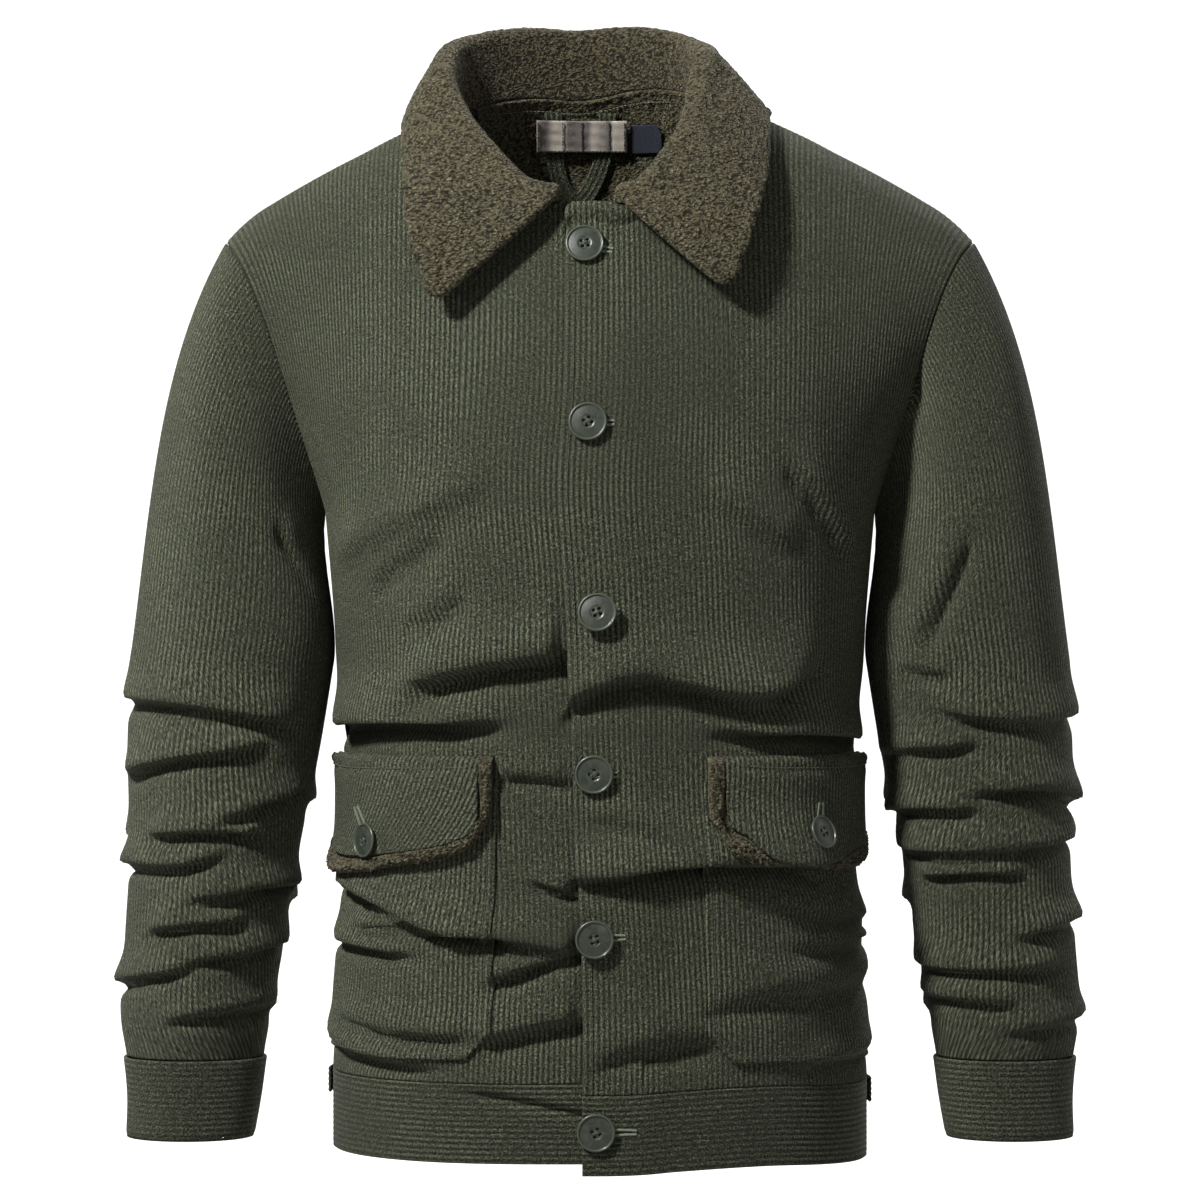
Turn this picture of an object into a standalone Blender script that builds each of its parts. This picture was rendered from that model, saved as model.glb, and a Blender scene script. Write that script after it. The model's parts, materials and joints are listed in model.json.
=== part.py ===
"""A hip-length corduroy jacket with a pile collar, filled out and empty, as a wearer's neck and shoulders hold it.

Sizes are millimetres, turned into metres as each mesh is made. The front faces -Y, +X is on the right of a
person who looks at the front, and the origin is the centre of the neck opening at the height of its sides.
Cloth is worked out as two grids of points, an outer face and an inner one, which share rows and columns, so
that a piece that lies on another is made from the same points moved further out.

"around" is the length of cloth from the centre front towards the side seam and on to the centre back,
negative on the left. "level" runs from 0 at the hem seam to 1 at the armpit and 2 at the neck and shoulder.
"""

import math

import bmesh
import bpy
import numpy as np
from mathutils import Matrix, Vector
from mathutils.bvhtree import BVHTree

MM = 0.001
WALL = 2.5
PILE_WALL = 7.0
SEAM = 0.15  # each piece stops this far from its seam
REST = 0.35  # room between a piece and the one that it lies on
NUDGE = 0.5  # step used to find a surface's direction

HEM_SEAM_Z = -595.0
HEM_Z = -645.0
ARMPIT_Z = -235.0
FRONT_QUARTER = 250.0
BACK_QUARTER = 244.0
HALF_ROUND = FRONT_QUARTER + BACK_QUARTER
ROUNDNESS = 2.3

NECK_X = -12.0
NECK_HALF = 83.0
NECK_AROUND = 87.0
NECK_SIDE_Y = -12.0
NECK_ARCH = {"front": 12.0, "back": 36.0}
NECK_DEPTH = {"front": 76.0, "back": 74.0}
NECK_FRONT_Z = -45.0
NECK_RISE = 8.0  # how much higher the front neck edge is at its middle
SHOULDER_TIP = 243.0
ARMHOLE_DIP = {"front": 15.0, "back": 12.0}

LAP = 38.0
LAP_FADE = 24.0
LAP_LIFT = WALL + REST
FRONT_DROP = {1: 6.0, -1: -1.0}
SIDE_DROP = 6.5  # how much lower the hem hangs at the right side seam

SLEEVE_TOP_Z = -330.0
CUFF_SEAM_Z = -586.5
CUFF_Z = -638.0
SLEEVE_GIRTH_RADIUS = 62.0


def table(columns, *rows):
    """Rows of numbers as one array for each named column."""
    return dict(zip(columns.split(), np.array(rows, float).T))


BODY = table(
    "z half_width front back",
    (-650.0, 175.0, 126.0, 120.0),
    (-595.0, 173.0, 128.0, 121.0),
    (-540.0, 170.0, 130.0, 122.0),
    (-480.0, 164.5, 131.0, 122.0),
    (-430.0, 160.5, 131.0, 121.0),
    (-385.0, 162.0, 130.0, 121.0),
    (-345.0, 169.5, 130.0, 121.0),
    (-300.0, 172.5, 131.0, 122.0),
    (-235.0, 178.0, 130.0, 122.0),
)

SHOULDER = table(
    "x z",
    (60.0, 40.0),
    (83.0, 30.0),
    (110.0, 18.0),
    (135.5, 6.5),
    (154.0, -3.0),
    (174.0, -13.0),
    (192.5, -23.0),
    (209.0, -32.5),
    (224.0, -42.0),
    (235.0, -51.5),
    (243.0, -60.0),
)

FRONT_EDGE = table(
    "z x",
    (-650.0, -13.0),
    (-570.0, -11.0),
    (-500.0, -12.5),
    (-440.0, -16.8),
    (-380.0, -18.7),
    (-280.0, -23.0),
    (-220.0, -26.5),
    (-150.0, -21.0),
    (-45.0, -15.0),
)

SLEEVE = table(
    "z centre half_width half_depth forward",
    (-638.0, 266.0, 40.5, 37.0, 20.0),
    (-612.0, 263.5, 42.5, 39.0, 18.0),
    (-586.5, 262.5, 45.0, 42.0, 17.0),
    (-566.0, 261.5, 47.5, 48.0, 16.0),
    (-510.0, 255.5, 51.5, 54.0, 13.0),
    (-461.5, 250.5, 54.0, 58.0, 10.0),
    (-383.5, 244.5, 61.5, 63.0, 6.0),
    (-330.0, 240.0, 64.5, 66.0, 3.0),
)

FOLD_COLUMNS = "x0 z0 x1 z1 bow sway ridge valley width lean"

LEFT_FOLDS = table(
    FOLD_COLUMNS,
    (-165, -281, -60, -228, 0, 0, 6, 0, 14, 0),
    (-145, -292, -92, -253, 0, 0, 2, 3, 12, 0),
    (-122, -318, -80, -294, 0, 0, 3, 4, 11, 0),
    (-125, -357, 20, -331, 6, 0, 11, 6, 17, 4),
    (-205, -381, -55, -376, 5, 0, 10, 7, 13, 4),
    (-68, -406, 5, -411, 0, 0, 3, 3, 9, 0),
    (-195, -474, 5, -512, 0, 5, 8, 5, 11, 3),
    (-156, -503, -66, -503, 3, 0, 4, 5, 7, 2),
    (-215, -515, -108, -520, 3, 0, 5, 5, 8, 2),
    (-46, -470, 10, -486, 0, 0, 4, 5, 8, 2),
    (-72, -537, 10, -512, 3, 0, 6, 5, 10, 2),
    (-165, -561, -72, -569, -4, 0, 4, 3, 9, 0),
    (-76, -577, 8, -559, 3, 0, 6, 4, 15, 2),
    (-200, -568, -92, -590, -4, 0, 4, 3, 8, 0),
    (-92, -601, 6, -620, 2, 0, 1, 2.5, 8, 0),
)

RIGHT_FOLDS = table(
    FOLD_COLUMNS,
    (185, -100, 199, -158, 0, 0, 3, 3, 10, 0),
    (112, -208, 156, -272, 0, 0, 4, 3, 12, 0),
    (58, -230, 118, -270, 0, 0, 4, 1, 13, 0),
    (-30, -362, 140, -336, -1, 17, 12, 6, 17, 4),
    (66, -381, 205, -394, 6, 0, 9, 6, 12, 4),
    (-14, -433, 50, -442, 4, 0, 3, 2, 8, 0),
    (-32, -477, 150, -470, 13, 0, 12, 7, 15, 6),
    (104, -487, 200, -503, 3, 0, 6, 5, 8, 3),
    (116, -514, 205, -512, 3, 0, 6, 4, 10, 3),
    (60, -552, 200, -538, 5, 0, 4, 3, 14, 0),
    (-10, -588, 78, -574, 6, 0, 4, 4, 18, 0),
    (120, -588, 200, -578, 4, 0, 3, 2, 8, 0),
)

BACK_FOLDS = table(
    FOLD_COLUMNS,
    (-150, -300, -60, -345, 5, 0, 6, 3, 16, 0),
    (155, -295, 70, -350, 4, 0, 6, 3, 16, 0),
    (-130, -392, 60, -372, 6, 6, 9, 5, 16, 3),
    (20, -420, 150, -398, 4, 0, 8, 5, 14, 3),
    (-150, -455, 40, -470, -5, 6, 9, 5, 15, 3),
    (60, -482, 170, -466, 4, 0, 6, 4, 12, 2),
    (-110, -520, 90, -514, 6, 0, 6, 4, 14, 2),
    (-170, -560, -40, -552, 3, 0, 4, 3, 12, 0),
    (40, -566, 160, -556, 3, 0, 4, 3, 12, 0),
)

SLEEVE_LEFT_FOLDS = table(
    FOLD_COLUMNS,
    (-206, -246, -180, -292, 0, 0, 3, 3, 10, 0),
    (-322, -362, -190, -382, 8, 0, 7, 5, 12, 3),
    (-304, -412, -210, -390, 4, 0, 7, 4, 11, 3),
    (-246, -434, -190, -416, 0, 0, 5, 4, 9, 2),
    (-290, -448, -214, -446, 4, 0, 6, 4, 9, 2),
    (-325, -472, -236, -458, 0, 3, 6, 4, 9, 2),
    (-268, -488, -186, -480, 4, 0, 6, 5, 9, 2),
    (-290, -509, -225, -501, 3, 0, 5, 4, 9, 2),
    (-264, -526, -200, -514, 0, 0, 5, 4, 9, 2),
    (-325, -546, -255, -530, 0, 0, 5, 4, 9, 2),
    (-280, -566, -205, -556, 3, 0, 4, 3, 8, 0),
)

SLEEVE_RIGHT_FOLDS = table(
    FOLD_COLUMNS,
    (252, -100, 213, -178, 0, 0, 3, 3, 12, 0),
    (248, -250, 208, -326, 0, 0, 4, 4, 12, 0),
    (190, -340, 226, -343, 0, 0, 3, 3, 8, 0),
    (208, -366, 320, -366, -8, 0, 8, 5, 12, 3),
    (182, -397, 244, -388, 0, 0, 6, 4, 10, 2),
    (232, -420, 322, -432, 9, 0, 7, 5, 10, 3),
    (184, -434, 246, -430, 3, 0, 6, 4, 9, 2),
    (190, -456, 312, -447, -3, 0, 6, 4, 9, 2),
    (206, -474, 272, -470, 3, 0, 5, 4, 8, 2),
    (262, -512, 318, -500, 3, 0, 6, 4, 9, 2),
    (200, -528, 300, -528, -3, 0, 6, 4, 9, 2),
    (208, -550, 270, -554, 0, 0, 5, 3, 9, 0),
    (255, -572, 325, -562, 0, 0, 4, 3, 8, 0),
)

SLEEVE_REAR_FOLDS = table(
    FOLD_COLUMNS,
    (190, -300, 270, -262, 0, 0, 4, 3, 14, 0),
    (186, -352, 290, -330, 4, 0, 6, 4, 13, 2),
    (200, -392, 296, -378, 4, 0, 7, 4, 12, 2),
    (190, -430, 270, -420, 3, 0, 6, 4, 10, 2),
    (230, -462, 312, -448, 0, 0, 6, 4, 10, 2),
    (200, -494, 280, -486, 3, 0, 6, 4, 10, 2),
    (226, -530, 306, -520, 0, 0, 5, 4, 9, 2),
    (212, -562, 280, -556, 0, 0, 4, 3, 8, 0),
)

# turn is the angle round the neck from the centre front; the edge's x is from the neck's centre line.
COLLAR = table(
    "turn stand edge_x edge_y edge_z",
    (11.0, 1.5, 93.0, -118.0, -100.0),
    (26.0, 6.0, 100.0, -113.0, -82.0),
    (45.0, 10.0, 110.0, -100.0, -54.0),
    (66.0, 12.0, 119.0, -72.0, -22.0),
    (90.0, 22.0, 122.0, -18.0, 15.0),
    (115.0, 37.0, 113.0, 30.0, 10.0),
    (138.0, 40.0, 84.0, 67.0, 2.0),
    (160.0, 40.0, 44.0, 87.0, -3.0),
    (180.0, 39.0, 0.0, 93.0, -5.0),
)
COLLAR_ROLL = 8.5
COLLAR_INSET = 3.5
COLLAR_TIP_DROP = {1: 0.0, -1: 8.0}
COLLAR_LIFT = {1: 7.0, -1: 0.0}
COLLAR_SHIFT = {1: -9.0, -1: 0.0}
COLLAR_SINK = {1: 12.0, -1: 2.0}
COLLAR_TURNS = (11.0, 16.7, 24.5, 32.7, 42.0, 52.5, 59.6, 70.5, 90.0, 104.0, 117.7, 138.2, 159.8, 180.0)

POCKET_TOP_Z = -406.0
POCKET_CLIP_Z = -561.0
POCKET_BOTTOM_Z = -580.0
POCKET_INNER = 69.0
POCKET_CLIP = 87.0
POCKET_OUTER = 247.0
FLAP_TOP_Z = -390.0
FLAP_INNER = 75.0
FLAP_OUTLINE = table(
    "around drop",
    (75.0, 38.0),
    (82.0, 50.0),
    (92.0, 56.0),
    (110.0, 61.0),
    (135.0, 65.0),
    (165.0, 68.0),
    (195.0, 68.0),
    (225.0, 64.0),
    (247.0, 58.0),
)
FLAP_PILE = 4.0
PILE_SHOWS = 3.5
FLAP_HOVER = 4.2

BUTTON = 24.0
POCKET_BUTTON = 21.5
FRONT_BUTTONS = table(
    "x z",
    (-9.5, -69.5),
    (-7.5, -182.0),
    (-1.5, -301.0),
    (-3.7, -401.0),
    (-3.7, -503.0),
    (-2.5, -623.5),
)
POCKET_BUTTONS = {-1: (-146.5, -444.5), 1: (138.0, -439.0)}

LABEL = {"x": (-42.0, 18.0), "z": (5.0, 25.0), "thick": 0.8}
FACING_WALL = 4.0
FACING_SLANT = 1.2  # how much further a step from the facing is along Y than straight out
SIZE_TAB = {"x": (20.0, 41.0), "z": (4.5, 22.5), "thick": 0.8}
LOOP_THICK = 1.8
LOOP_PATH = table(
    "x z",
    (-31.0, 30.5),
    (-30.5, 15.0),
    (-30.0, -2.0),
    (-25.0, -15.0),
    (-17.0, -21.0),
    (-8.0, -18.0),
    (-1.0, -7.0),
    (3.0, 5.0),
    (5.0, 20.0),
    (5.5, 30.5),
)
LOOP_WIDTH = 12.0

TAB_DROPS = (17.5, 9.0, 1.0)
TAB_BUTTON = 18.0
TAB_BUTTON_COLUMN = 204.0

COLUMNS = (25.0, 47.0, 69.0, 75.0, 82.0, 87.0, 108.0, 130.0, 152.0, 174.0, 194.0, 213.0, 232.0, 247.0)
BACK_COLUMNS = (0.0, 30.0, 58.0, 77.0, 87.0, 110.0, 134.0, 158.0, 182.0, 204.0, 224.0)
LOWER_ROWS = (
    HEM_SEAM_Z, POCKET_BOTTOM_Z, POCKET_CLIP_Z, -547.0, -533.0, -520.0, -508.0, -496.0, -486.0, -476.0,
    -465.0, -453.0, -440.0, -424.0, POCKET_TOP_Z, FLAP_TOP_Z, -379.0, -369.0, -358.0, -346.0, -334.0,
    -315.0, -290.0, -262.0, ARMPIT_Z,
)
UPPER_ROWS = (0.09, 0.2, 0.33, 0.47, 0.61, 0.75, 0.88, 1.0)
CAP_ROWS = (0.0, 0.12, 0.26, 0.42, 0.58, 0.76, 0.9)
SLEEVE_ROWS = (
    -330.0, -346.0, -358.0, -370.0, -382.0, -394.0, -406.0, -418.0, -430.0, -442.0, -454.0, -466.0,
    -478.0, -490.0, -502.0, -514.0, -527.0, -541.0, -555.0, -570.0,
)

OLIVE = (0.075, 0.082, 0.048)
OLIVE_DARK = (0.052, 0.056, 0.034)
PILE_BROWN = (0.095, 0.080, 0.048)
BUTTON_GREEN = (0.085, 0.100, 0.070)
CREAM = (0.42, 0.38, 0.32)
NAVY = (0.012, 0.022, 0.075)


def smooth(rows, key, column, at):
    """The column's value at places along the key column, on a smooth curve through the rows."""
    xs, ys = rows[key], rows[column]
    slope = np.gradient(ys, xs)
    at = np.clip(at, xs[0], xs[-1])
    i = np.clip(np.searchsorted(xs, at) - 1, 0, len(xs) - 2)
    step = xs[i + 1] - xs[i]
    t = (at - xs[i]) / step
    rise = t * t * (3 - 2 * t)
    bend = step * t * (1 - t) * ((1 - t) * slope[i] - t * slope[i + 1])
    return ys[i] + rise * (ys[i + 1] - ys[i]) + bend


def ease(value, start, end):
    """0 at start and 1 at end, soft at both."""
    t = np.clip((np.asarray(value, float) - start) / (end - start), 0.0, 1.0)
    return t * t * (3 - 2 * t)


def unit(vectors):
    """The vectors at length 1."""
    vectors = np.asarray(vectors, float)
    return vectors / np.maximum(np.linalg.norm(vectors, axis=-1, keepdims=True), 1e-9)


def quarter(half_width, depth):
    """Length, x and depth along a quarter of the body's ring, from its centre to the side seam."""
    turn = np.linspace(0.0, math.pi / 2, 181)
    x = half_width * np.sin(turn) ** (2 / ROUNDNESS)
    y = depth * np.cos(turn) ** (2 / ROUNDNESS)
    length = np.concatenate([[0.0], np.cumsum(np.hypot(np.diff(x), np.diff(y)))])
    return length, x, y


def ring(around, z):
    """Points of the body's level ring at height z."""
    half_width = smooth(BODY, "z", "half_width", z)
    size = np.abs(around)
    points = np.empty((len(size), 3))
    for behind, depth in ((False, "front"), (True, "back")):
        length, x, y = quarter(half_width, smooth(BODY, "z", depth, z))
        share = (HALF_ROUND - size) / BACK_QUARTER if behind else size / FRONT_QUARTER
        chosen = (size > FRONT_QUARTER) == behind
        at = share[chosen] * length[-1]
        points[chosen, 0] = np.sign(around[chosen]) * np.interp(at, length, x)
        points[chosen, 1] = (1 if behind else -1) * np.interp(at, length, y)
    points[:, 2] = z
    return points


def top_edge(out, side, behind):
    """Points of the shoulder seam, and of the line that it would follow over the neck. out is 0 at the centre."""
    edge = BACK_QUARTER if behind else FRONT_QUARTER
    share = np.maximum(np.abs(out) - NECK_AROUND, 0) / (edge - NECK_AROUND)
    neck_side = NECK_HALF + side * NECK_X
    inner = np.abs(out) <= NECK_AROUND
    x = np.where(inner, neck_side, neck_side + share * (SHOULDER_TIP - neck_side))
    z = smooth(SHOULDER, "x", "z", x)
    sides = [smooth(SHOULDER, "x", "z", NECK_HALF + sign * NECK_X) for sign in (-1, 1)]
    over = sides[0] + (sides[1] - sides[0]) * ease(side * out, -NECK_AROUND, NECK_AROUND)
    over = over + NECK_ARCH["back" if behind else "front"] * near_centre(out)
    points = np.empty((len(out), 3))
    points[:, 0] = np.where(inner, NECK_X + side * NECK_HALF * out / NECK_AROUND, side * x)
    points[:, 1] = NECK_SIDE_Y * (1 - ease(share, 0, 1))
    points[:, 2] = np.where(inner, over, z)
    return points


def near_centre(out):
    """1 at the centre line and 0 from the neck's sides outwards."""
    return 1 - np.minimum(np.abs(out) / NECK_AROUND, 1) ** 3


def column(out, t, side, behind):
    """Points above the armpit on columns that bend from the body's ring up and over to the shoulder seam's line."""
    away = 1 if behind else -1
    start = ring(side * (HALF_ROUND - out if behind else out), ARMPIT_Z)
    end = top_edge(out, side, behind)
    outer = ease(np.abs(out), 150, 250)
    wide, middle = 1 - ease(np.abs(out), 20, 190), 1 - ease(np.abs(out), 20, 150)
    climb = np.stack([side * 20 * outer, away * 20 * outer, 78 + 0 * outer], axis=-1)
    over_y, over_z = (61, 53) if behind else (12, -4)
    fall = np.stack([side * 6 * outer, away * (61 + over_y * wide), -28 + over_z * middle], axis=-1)
    t = np.asarray(t)[:, None]
    ways = (1 - t) ** 3, 3 * t * (1 - t) ** 2, 3 * t * t * (1 - t), t**3
    return ways[0] * start + ways[1] * (start + climb) + ways[2] * (end + fall) + ways[3] * end


def neck_stop(out, side, behind):
    """The share of each column that is left where the neck opening, round in plan, ends it."""
    reach = np.sqrt(np.clip(1 - (out / NECK_AROUND) ** 2, 0, 1))
    target = NECK_DEPTH["back" if behind else "front"] * reach
    shares = np.linspace(1.0, 0.3, 36)
    depths = np.array([np.abs(column(out, share + 0 * out, side, behind)[:, 1] - NECK_SIDE_Y) for share in shares])
    found = np.array([np.interp(target[k], depths[:, k], shares) for k in range(len(out))])
    return np.where(np.abs(out) < NECK_AROUND, found, 1.0)


def body_base(out, level, side, behind):
    """Points of the smooth body, before laps and folds. out is the length of cloth from the centre line."""
    out = np.asarray(out, float)
    if level > 1:
        return column(out, (level - 1) * neck_stop(out, side, behind), side, behind)
    z = HEM_SEAM_Z + level * (ARMPIT_Z - HEM_SEAM_Z)
    return ring(side * (HALF_ROUND - out if behind else out), z)


def level_of(z):
    """The level of a height below the armpit."""
    return (z - HEM_SEAM_Z) / (ARMPIT_Z - HEM_SEAM_Z)


def body_normal(out, level, side, behind):
    """Outward directions of the smooth body."""
    step = NUDGE / 300
    if level > 1:
        share = (level - 1) * neck_stop(out, side, behind)
        across = column(out + NUDGE, share, side, behind) - column(out - NUDGE, share, side, behind)
        upward = column(out, share, side, behind) - column(out, share - step, side, behind)
    else:
        across = body_base(out + NUDGE, level, side, behind) - body_base(out - NUDGE, level, side, behind)
        upward = body_base(out, level, side, behind) - body_base(out, level - step, side, behind)
    return unit(np.cross(across, upward) * side * (-1 if behind else 1))


def fold_relief(folds, to_length, at, z, period):
    """How far folds push the cloth out, and how far they let it down, at lengths round it and heights."""
    out = np.zeros(np.broadcast(at, z).shape)
    down = np.zeros_like(out)
    for i in range(len(folds["x0"])):
        row = {name: values[i] for name, values in folds.items()}
        start = to_length(row["x0"], row["z0"])
        run = to_length(row["x1"], row["z1"]) - start
        rise = row["z1"] - row["z0"]
        if run < 0:
            start, run, rise, row["z0"] = start + run, -run, -rise, row["z1"]
        length = math.hypot(run, rise)
        dx = (at - start - run / 2 + period / 2) % period - period / 2 + run / 2
        dz = z - row["z0"]
        t = (dx * run + dz * rise) / length**2
        middle = row["bow"] * 4 * t * (1 - t) + row["sway"] * np.sin(2 * math.pi * t)
        above = (dz * run - dx * rise) / length - np.where((t > 0) & (t < 1), middle, 0)
        fade = ease(t, -0.06, 0.24) * ease(t, 1.06, 0.76)
        width = row["width"]
        spread = np.where(above < width, 0.55 * width, 1.1 * width)
        crest = np.exp(-(((above - width) / spread) ** 2))
        trough = np.exp(-((above / (0.5 * width)) ** 2))
        out += fade * (row["ridge"] * crest - row["valley"] * trough)
        down += fade * row["lean"] * crest
    return out, down


def front_length(x, z):
    """Length round the body from the centre front to a place seen from the front at x."""
    length, xs, _ = quarter(smooth(BODY, "z", "half_width", z), smooth(BODY, "z", "front", z))
    size = abs(x)
    inside = np.interp(size, xs, length) * FRONT_QUARTER / length[-1]
    return math.copysign(inside + max(0.0, size - xs[-1]), x)


def body_relief(around, z, side):
    """The folds of the body. A front's own folds fade where it runs under the other front."""
    right = fold_relief(RIGHT_FOLDS, front_length, around, z, 2 * HALF_ROUND)
    left = fold_relief(LEFT_FOLDS, front_length, around, z, 2 * HALF_ROUND)
    from_back = np.where(around < 0, -HALF_ROUND - around, HALF_ROUND - around)
    back = fold_relief(BACK_FOLDS, lambda x, z: x, from_back, z, 4 * HALF_ROUND)
    at_side = ease(np.abs(around), 205, 240) * ease(np.abs(around), 300, 265)
    calm = 1 - (0.45 + 0.4 * ease(z, -345, -290)) * at_side
    behind = ease(np.abs(around), FRONT_QUARTER - 30, FRONT_QUARTER + 30)
    on_right = ease(around, -20, 40)
    totals = []
    for i in range(2):
        if side > 0:
            value = right[i]
        elif side < 0:
            under = ease(around, smooth(FRONT_EDGE, "z", "x", z) - 12, smooth(FRONT_EDGE, "z", "x", z) - 1)
            value = left[i] + under * (np.minimum(left[i], right[i]) - left[i])
        else:
            value = left[i] * (1 - on_right) + right[i] * on_right
        totals.append((value + behind * back[i]) * calm * ease(z, -45, -110))
    return totals


class Panel:
    """A body panel: its points at each row and column, and the same points moved out or in."""

    def __init__(self, side, behind):
        self.side = side
        self.behind = behind

    def lift(self, out, z):
        """How far the right front stands off the left one where it laps over it."""
        if self.behind or self.side < 0:
            return np.zeros_like(out)
        end = smooth(FRONT_EDGE, "z", "x", z) + LAP
        return LAP_LIFT * (1 - ease(out, end + 1, end + LAP_FADE))

    def row(self, out, level, below=0.0):
        """Points, directions and heights for one row. below is the drop under the hem seam."""
        out = np.asarray(out, float)
        side = 1 if self.behind else self.side
        if self.behind:
            sides = np.where(out < 0, -1, 1)
            base, normal = np.empty((len(out), 3)), np.empty((len(out), 3))
            for sign in (-1, 1):
                chosen = sides == sign
                base[chosen] = body_base(np.abs(out[chosen]), level, sign, True)
                normal[chosen] = body_normal(np.abs(out[chosen]), level, sign, True)
            around = np.where(out < 0, -HALF_ROUND - out, HALF_ROUND - out)
            relief, down = body_relief(around, base[:, 2] - below, 0)
        else:
            base = body_base(out, level, side, False)
            normal = body_normal(out, level, side, False)
            relief, down = body_relief(side * out, base[:, 2] - below, side)
        lift = self.lift(out, base[:, 2] - below)
        points = base + normal * (relief + lift)[:, None]
        points[:, 2] -= down + below
        low = ease(base[:, 2] - below, -430, -590)
        if self.behind or side > 0:
            points[:, 2] -= SIDE_DROP * ease(out, 40, 230) * low
        if not self.behind:
            points[:, 2] -= FRONT_DROP[side] * (1 - ease(out, 0, 130)) * low
            points[:, 2] += NECK_RISE * ease(level, 1.88, 2) * (1 - ease(np.abs(base[:, 0] - NECK_X), 6, 40))
        return points, normal


def grid_normals(grid, tube=False):
    """Outward directions of a grid of points, from its own rows and columns."""
    if tube:
        across = np.roll(grid, -1, axis=1) - np.roll(grid, 1, axis=1)
    else:
        across = np.gradient(grid, axis=1)
    return unit(np.cross(across, np.gradient(grid, axis=0)))


def armhole_out(rise, behind):
    """Length of cloth from the centre line to the armhole, rise 0 at the armpit and 1 at the shoulder."""
    edge = BACK_QUARTER if behind else FRONT_QUARTER
    return edge - ARMHOLE_DIP["back" if behind else "front"] * np.sin(math.pi * rise)


def armhole(rise, side, behind):
    """A point of the armhole seam and the body's outward direction there."""
    out = np.array([armhole_out(rise, behind)])
    sign = side if behind else 1
    panel = Panel(side, behind)
    point, normal = panel.row(out * sign, 1 + rise)
    return point[0], normal[0]


def armhole_loop(side):
    """The armhole from the shoulder down the front, through the armpit and up the back, with angles round it."""
    rises = (0.0, *UPPER_ROWS)
    front = [armhole(rise, side, False) for rise in reversed(rises)]
    back = [armhole(rise, side, True) for rise in rises[1:-1]]
    points = np.array([point for point, _ in front + back])
    normals = np.array([normal for _, normal in front + back])
    steps = np.linalg.norm(np.roll(points, -1, axis=0) - points, axis=1)
    low = len(rises) - 1
    angles = np.empty(len(points))
    angles[: low + 1] = math.pi * np.concatenate([[0], np.cumsum(steps[:low])]) / steps[:low].sum()
    angles[low:] = math.pi * (1 + np.concatenate([[0], np.cumsum(steps[low:-1])]) / steps[low:].sum())
    return points, normals, angles


def sleeve_section(angle, z, side):
    """Points of a sleeve's level section."""
    x = smooth(SLEEVE, "z", "centre", z) + smooth(SLEEVE, "z", "half_width", z) * np.cos(angle)
    y = -smooth(SLEEVE, "z", "forward", z) - smooth(SLEEVE, "z", "half_depth", z) * np.sin(angle)
    return np.stack([side * x, y, np.broadcast_to(z, x.shape)], axis=-1)


def outer_side(angle):
    """1 over the shoulder and round the outside of a sleeve, 0 at the underarm."""
    away = np.where(angle > math.pi, 2 * math.pi - angle, angle)
    return 1 - ease(away, 1.9, math.pi)


def cap_start(angle, side):
    """The direction in which a sleeve leaves its armhole."""
    spread = outer_side(angle)
    return unit(np.stack([side * (0.1 + 0.36 * spread), -0.35 * spread * np.sin(angle), -0.8 + 0 * angle], axis=-1))


def sleeve_cap(start, leaving, angle, along, side):
    """Points of the sleeve between its armhole and its first level section."""
    end = sleeve_section(angle, SLEEVE_TOP_Z, side)
    reach = np.linalg.norm(end - start, axis=-1, keepdims=True)
    leave = leaving * reach
    arrive = np.stack([side * (0.06 + 0.08 * outer_side(angle)), 0 * angle, -1 + 0 * angle], axis=-1) * reach
    t = along
    return (
        (1 + 2 * t) * (1 - t) ** 2 * start
        + t * (1 - t) ** 2 * leave
        + t * t * (3 - 2 * t) * end
        + t * t * (t - 1) * arrive
    )


def sleeve_length(rear):
    """A function for the length round a sleeve to a place seen at x, from the front or from the rear."""

    def to_length(x, z):
        z = max(min(z, SLEEVE_TOP_Z), CUFF_Z)
        share = (abs(x) - smooth(SLEEVE, "z", "centre", z)) / smooth(SLEEVE, "z", "half_width", z)
        angle = math.acos(max(-1.0, min(1.0, share)))
        angle += max(0.0, -share - 1) - max(0.0, share - 1)
        return SLEEVE_GIRTH_RADIUS * (-angle if rear else angle)

    return to_length


def sleeve_relief(angle, z, side):
    """The folds of a sleeve."""
    folds = SLEEVE_RIGHT_FOLDS if side > 0 else SLEEVE_LEFT_FOLDS
    at = angle * SLEEVE_GIRTH_RADIUS
    period = 2 * math.pi * SLEEVE_GIRTH_RADIUS
    front = fold_relief(folds, sleeve_length(False), at, z, period)
    rear = fold_relief(SLEEVE_REAR_FOLDS, sleeve_length(True), at, z, period)
    inside = ease(np.abs(angle - math.pi), 1.1, 0.5) * ease(z, -420, -370)
    calm = (1 - 0.85 * inside) * ease(z, -589, -570) * ease(z, -90, -130)
    return (front[0] + rear[0]) * calm, (front[1] + rear[1]) * calm


def material(name, colour, roughness):
    """A Principled finish of one colour."""
    made = bpy.data.materials.new(name)
    made.use_nodes = True
    made.diffuse_color = (*colour, 1.0)
    shader = made.node_tree.nodes["Principled BSDF"]
    shader.inputs["Base Color"].default_value = (*colour, 1.0)
    shader.inputs["Roughness"].default_value = roughness
    shader.inputs["Metallic"].default_value = 0.0
    return made


def place(mesh, name, finish):
    """A mesh as a named object of the jacket."""
    mesh.materials.append(finish)
    made = bpy.data.objects.new(name, mesh)
    bpy.data.collections["jacket"].objects.link(made)
    return made


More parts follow.
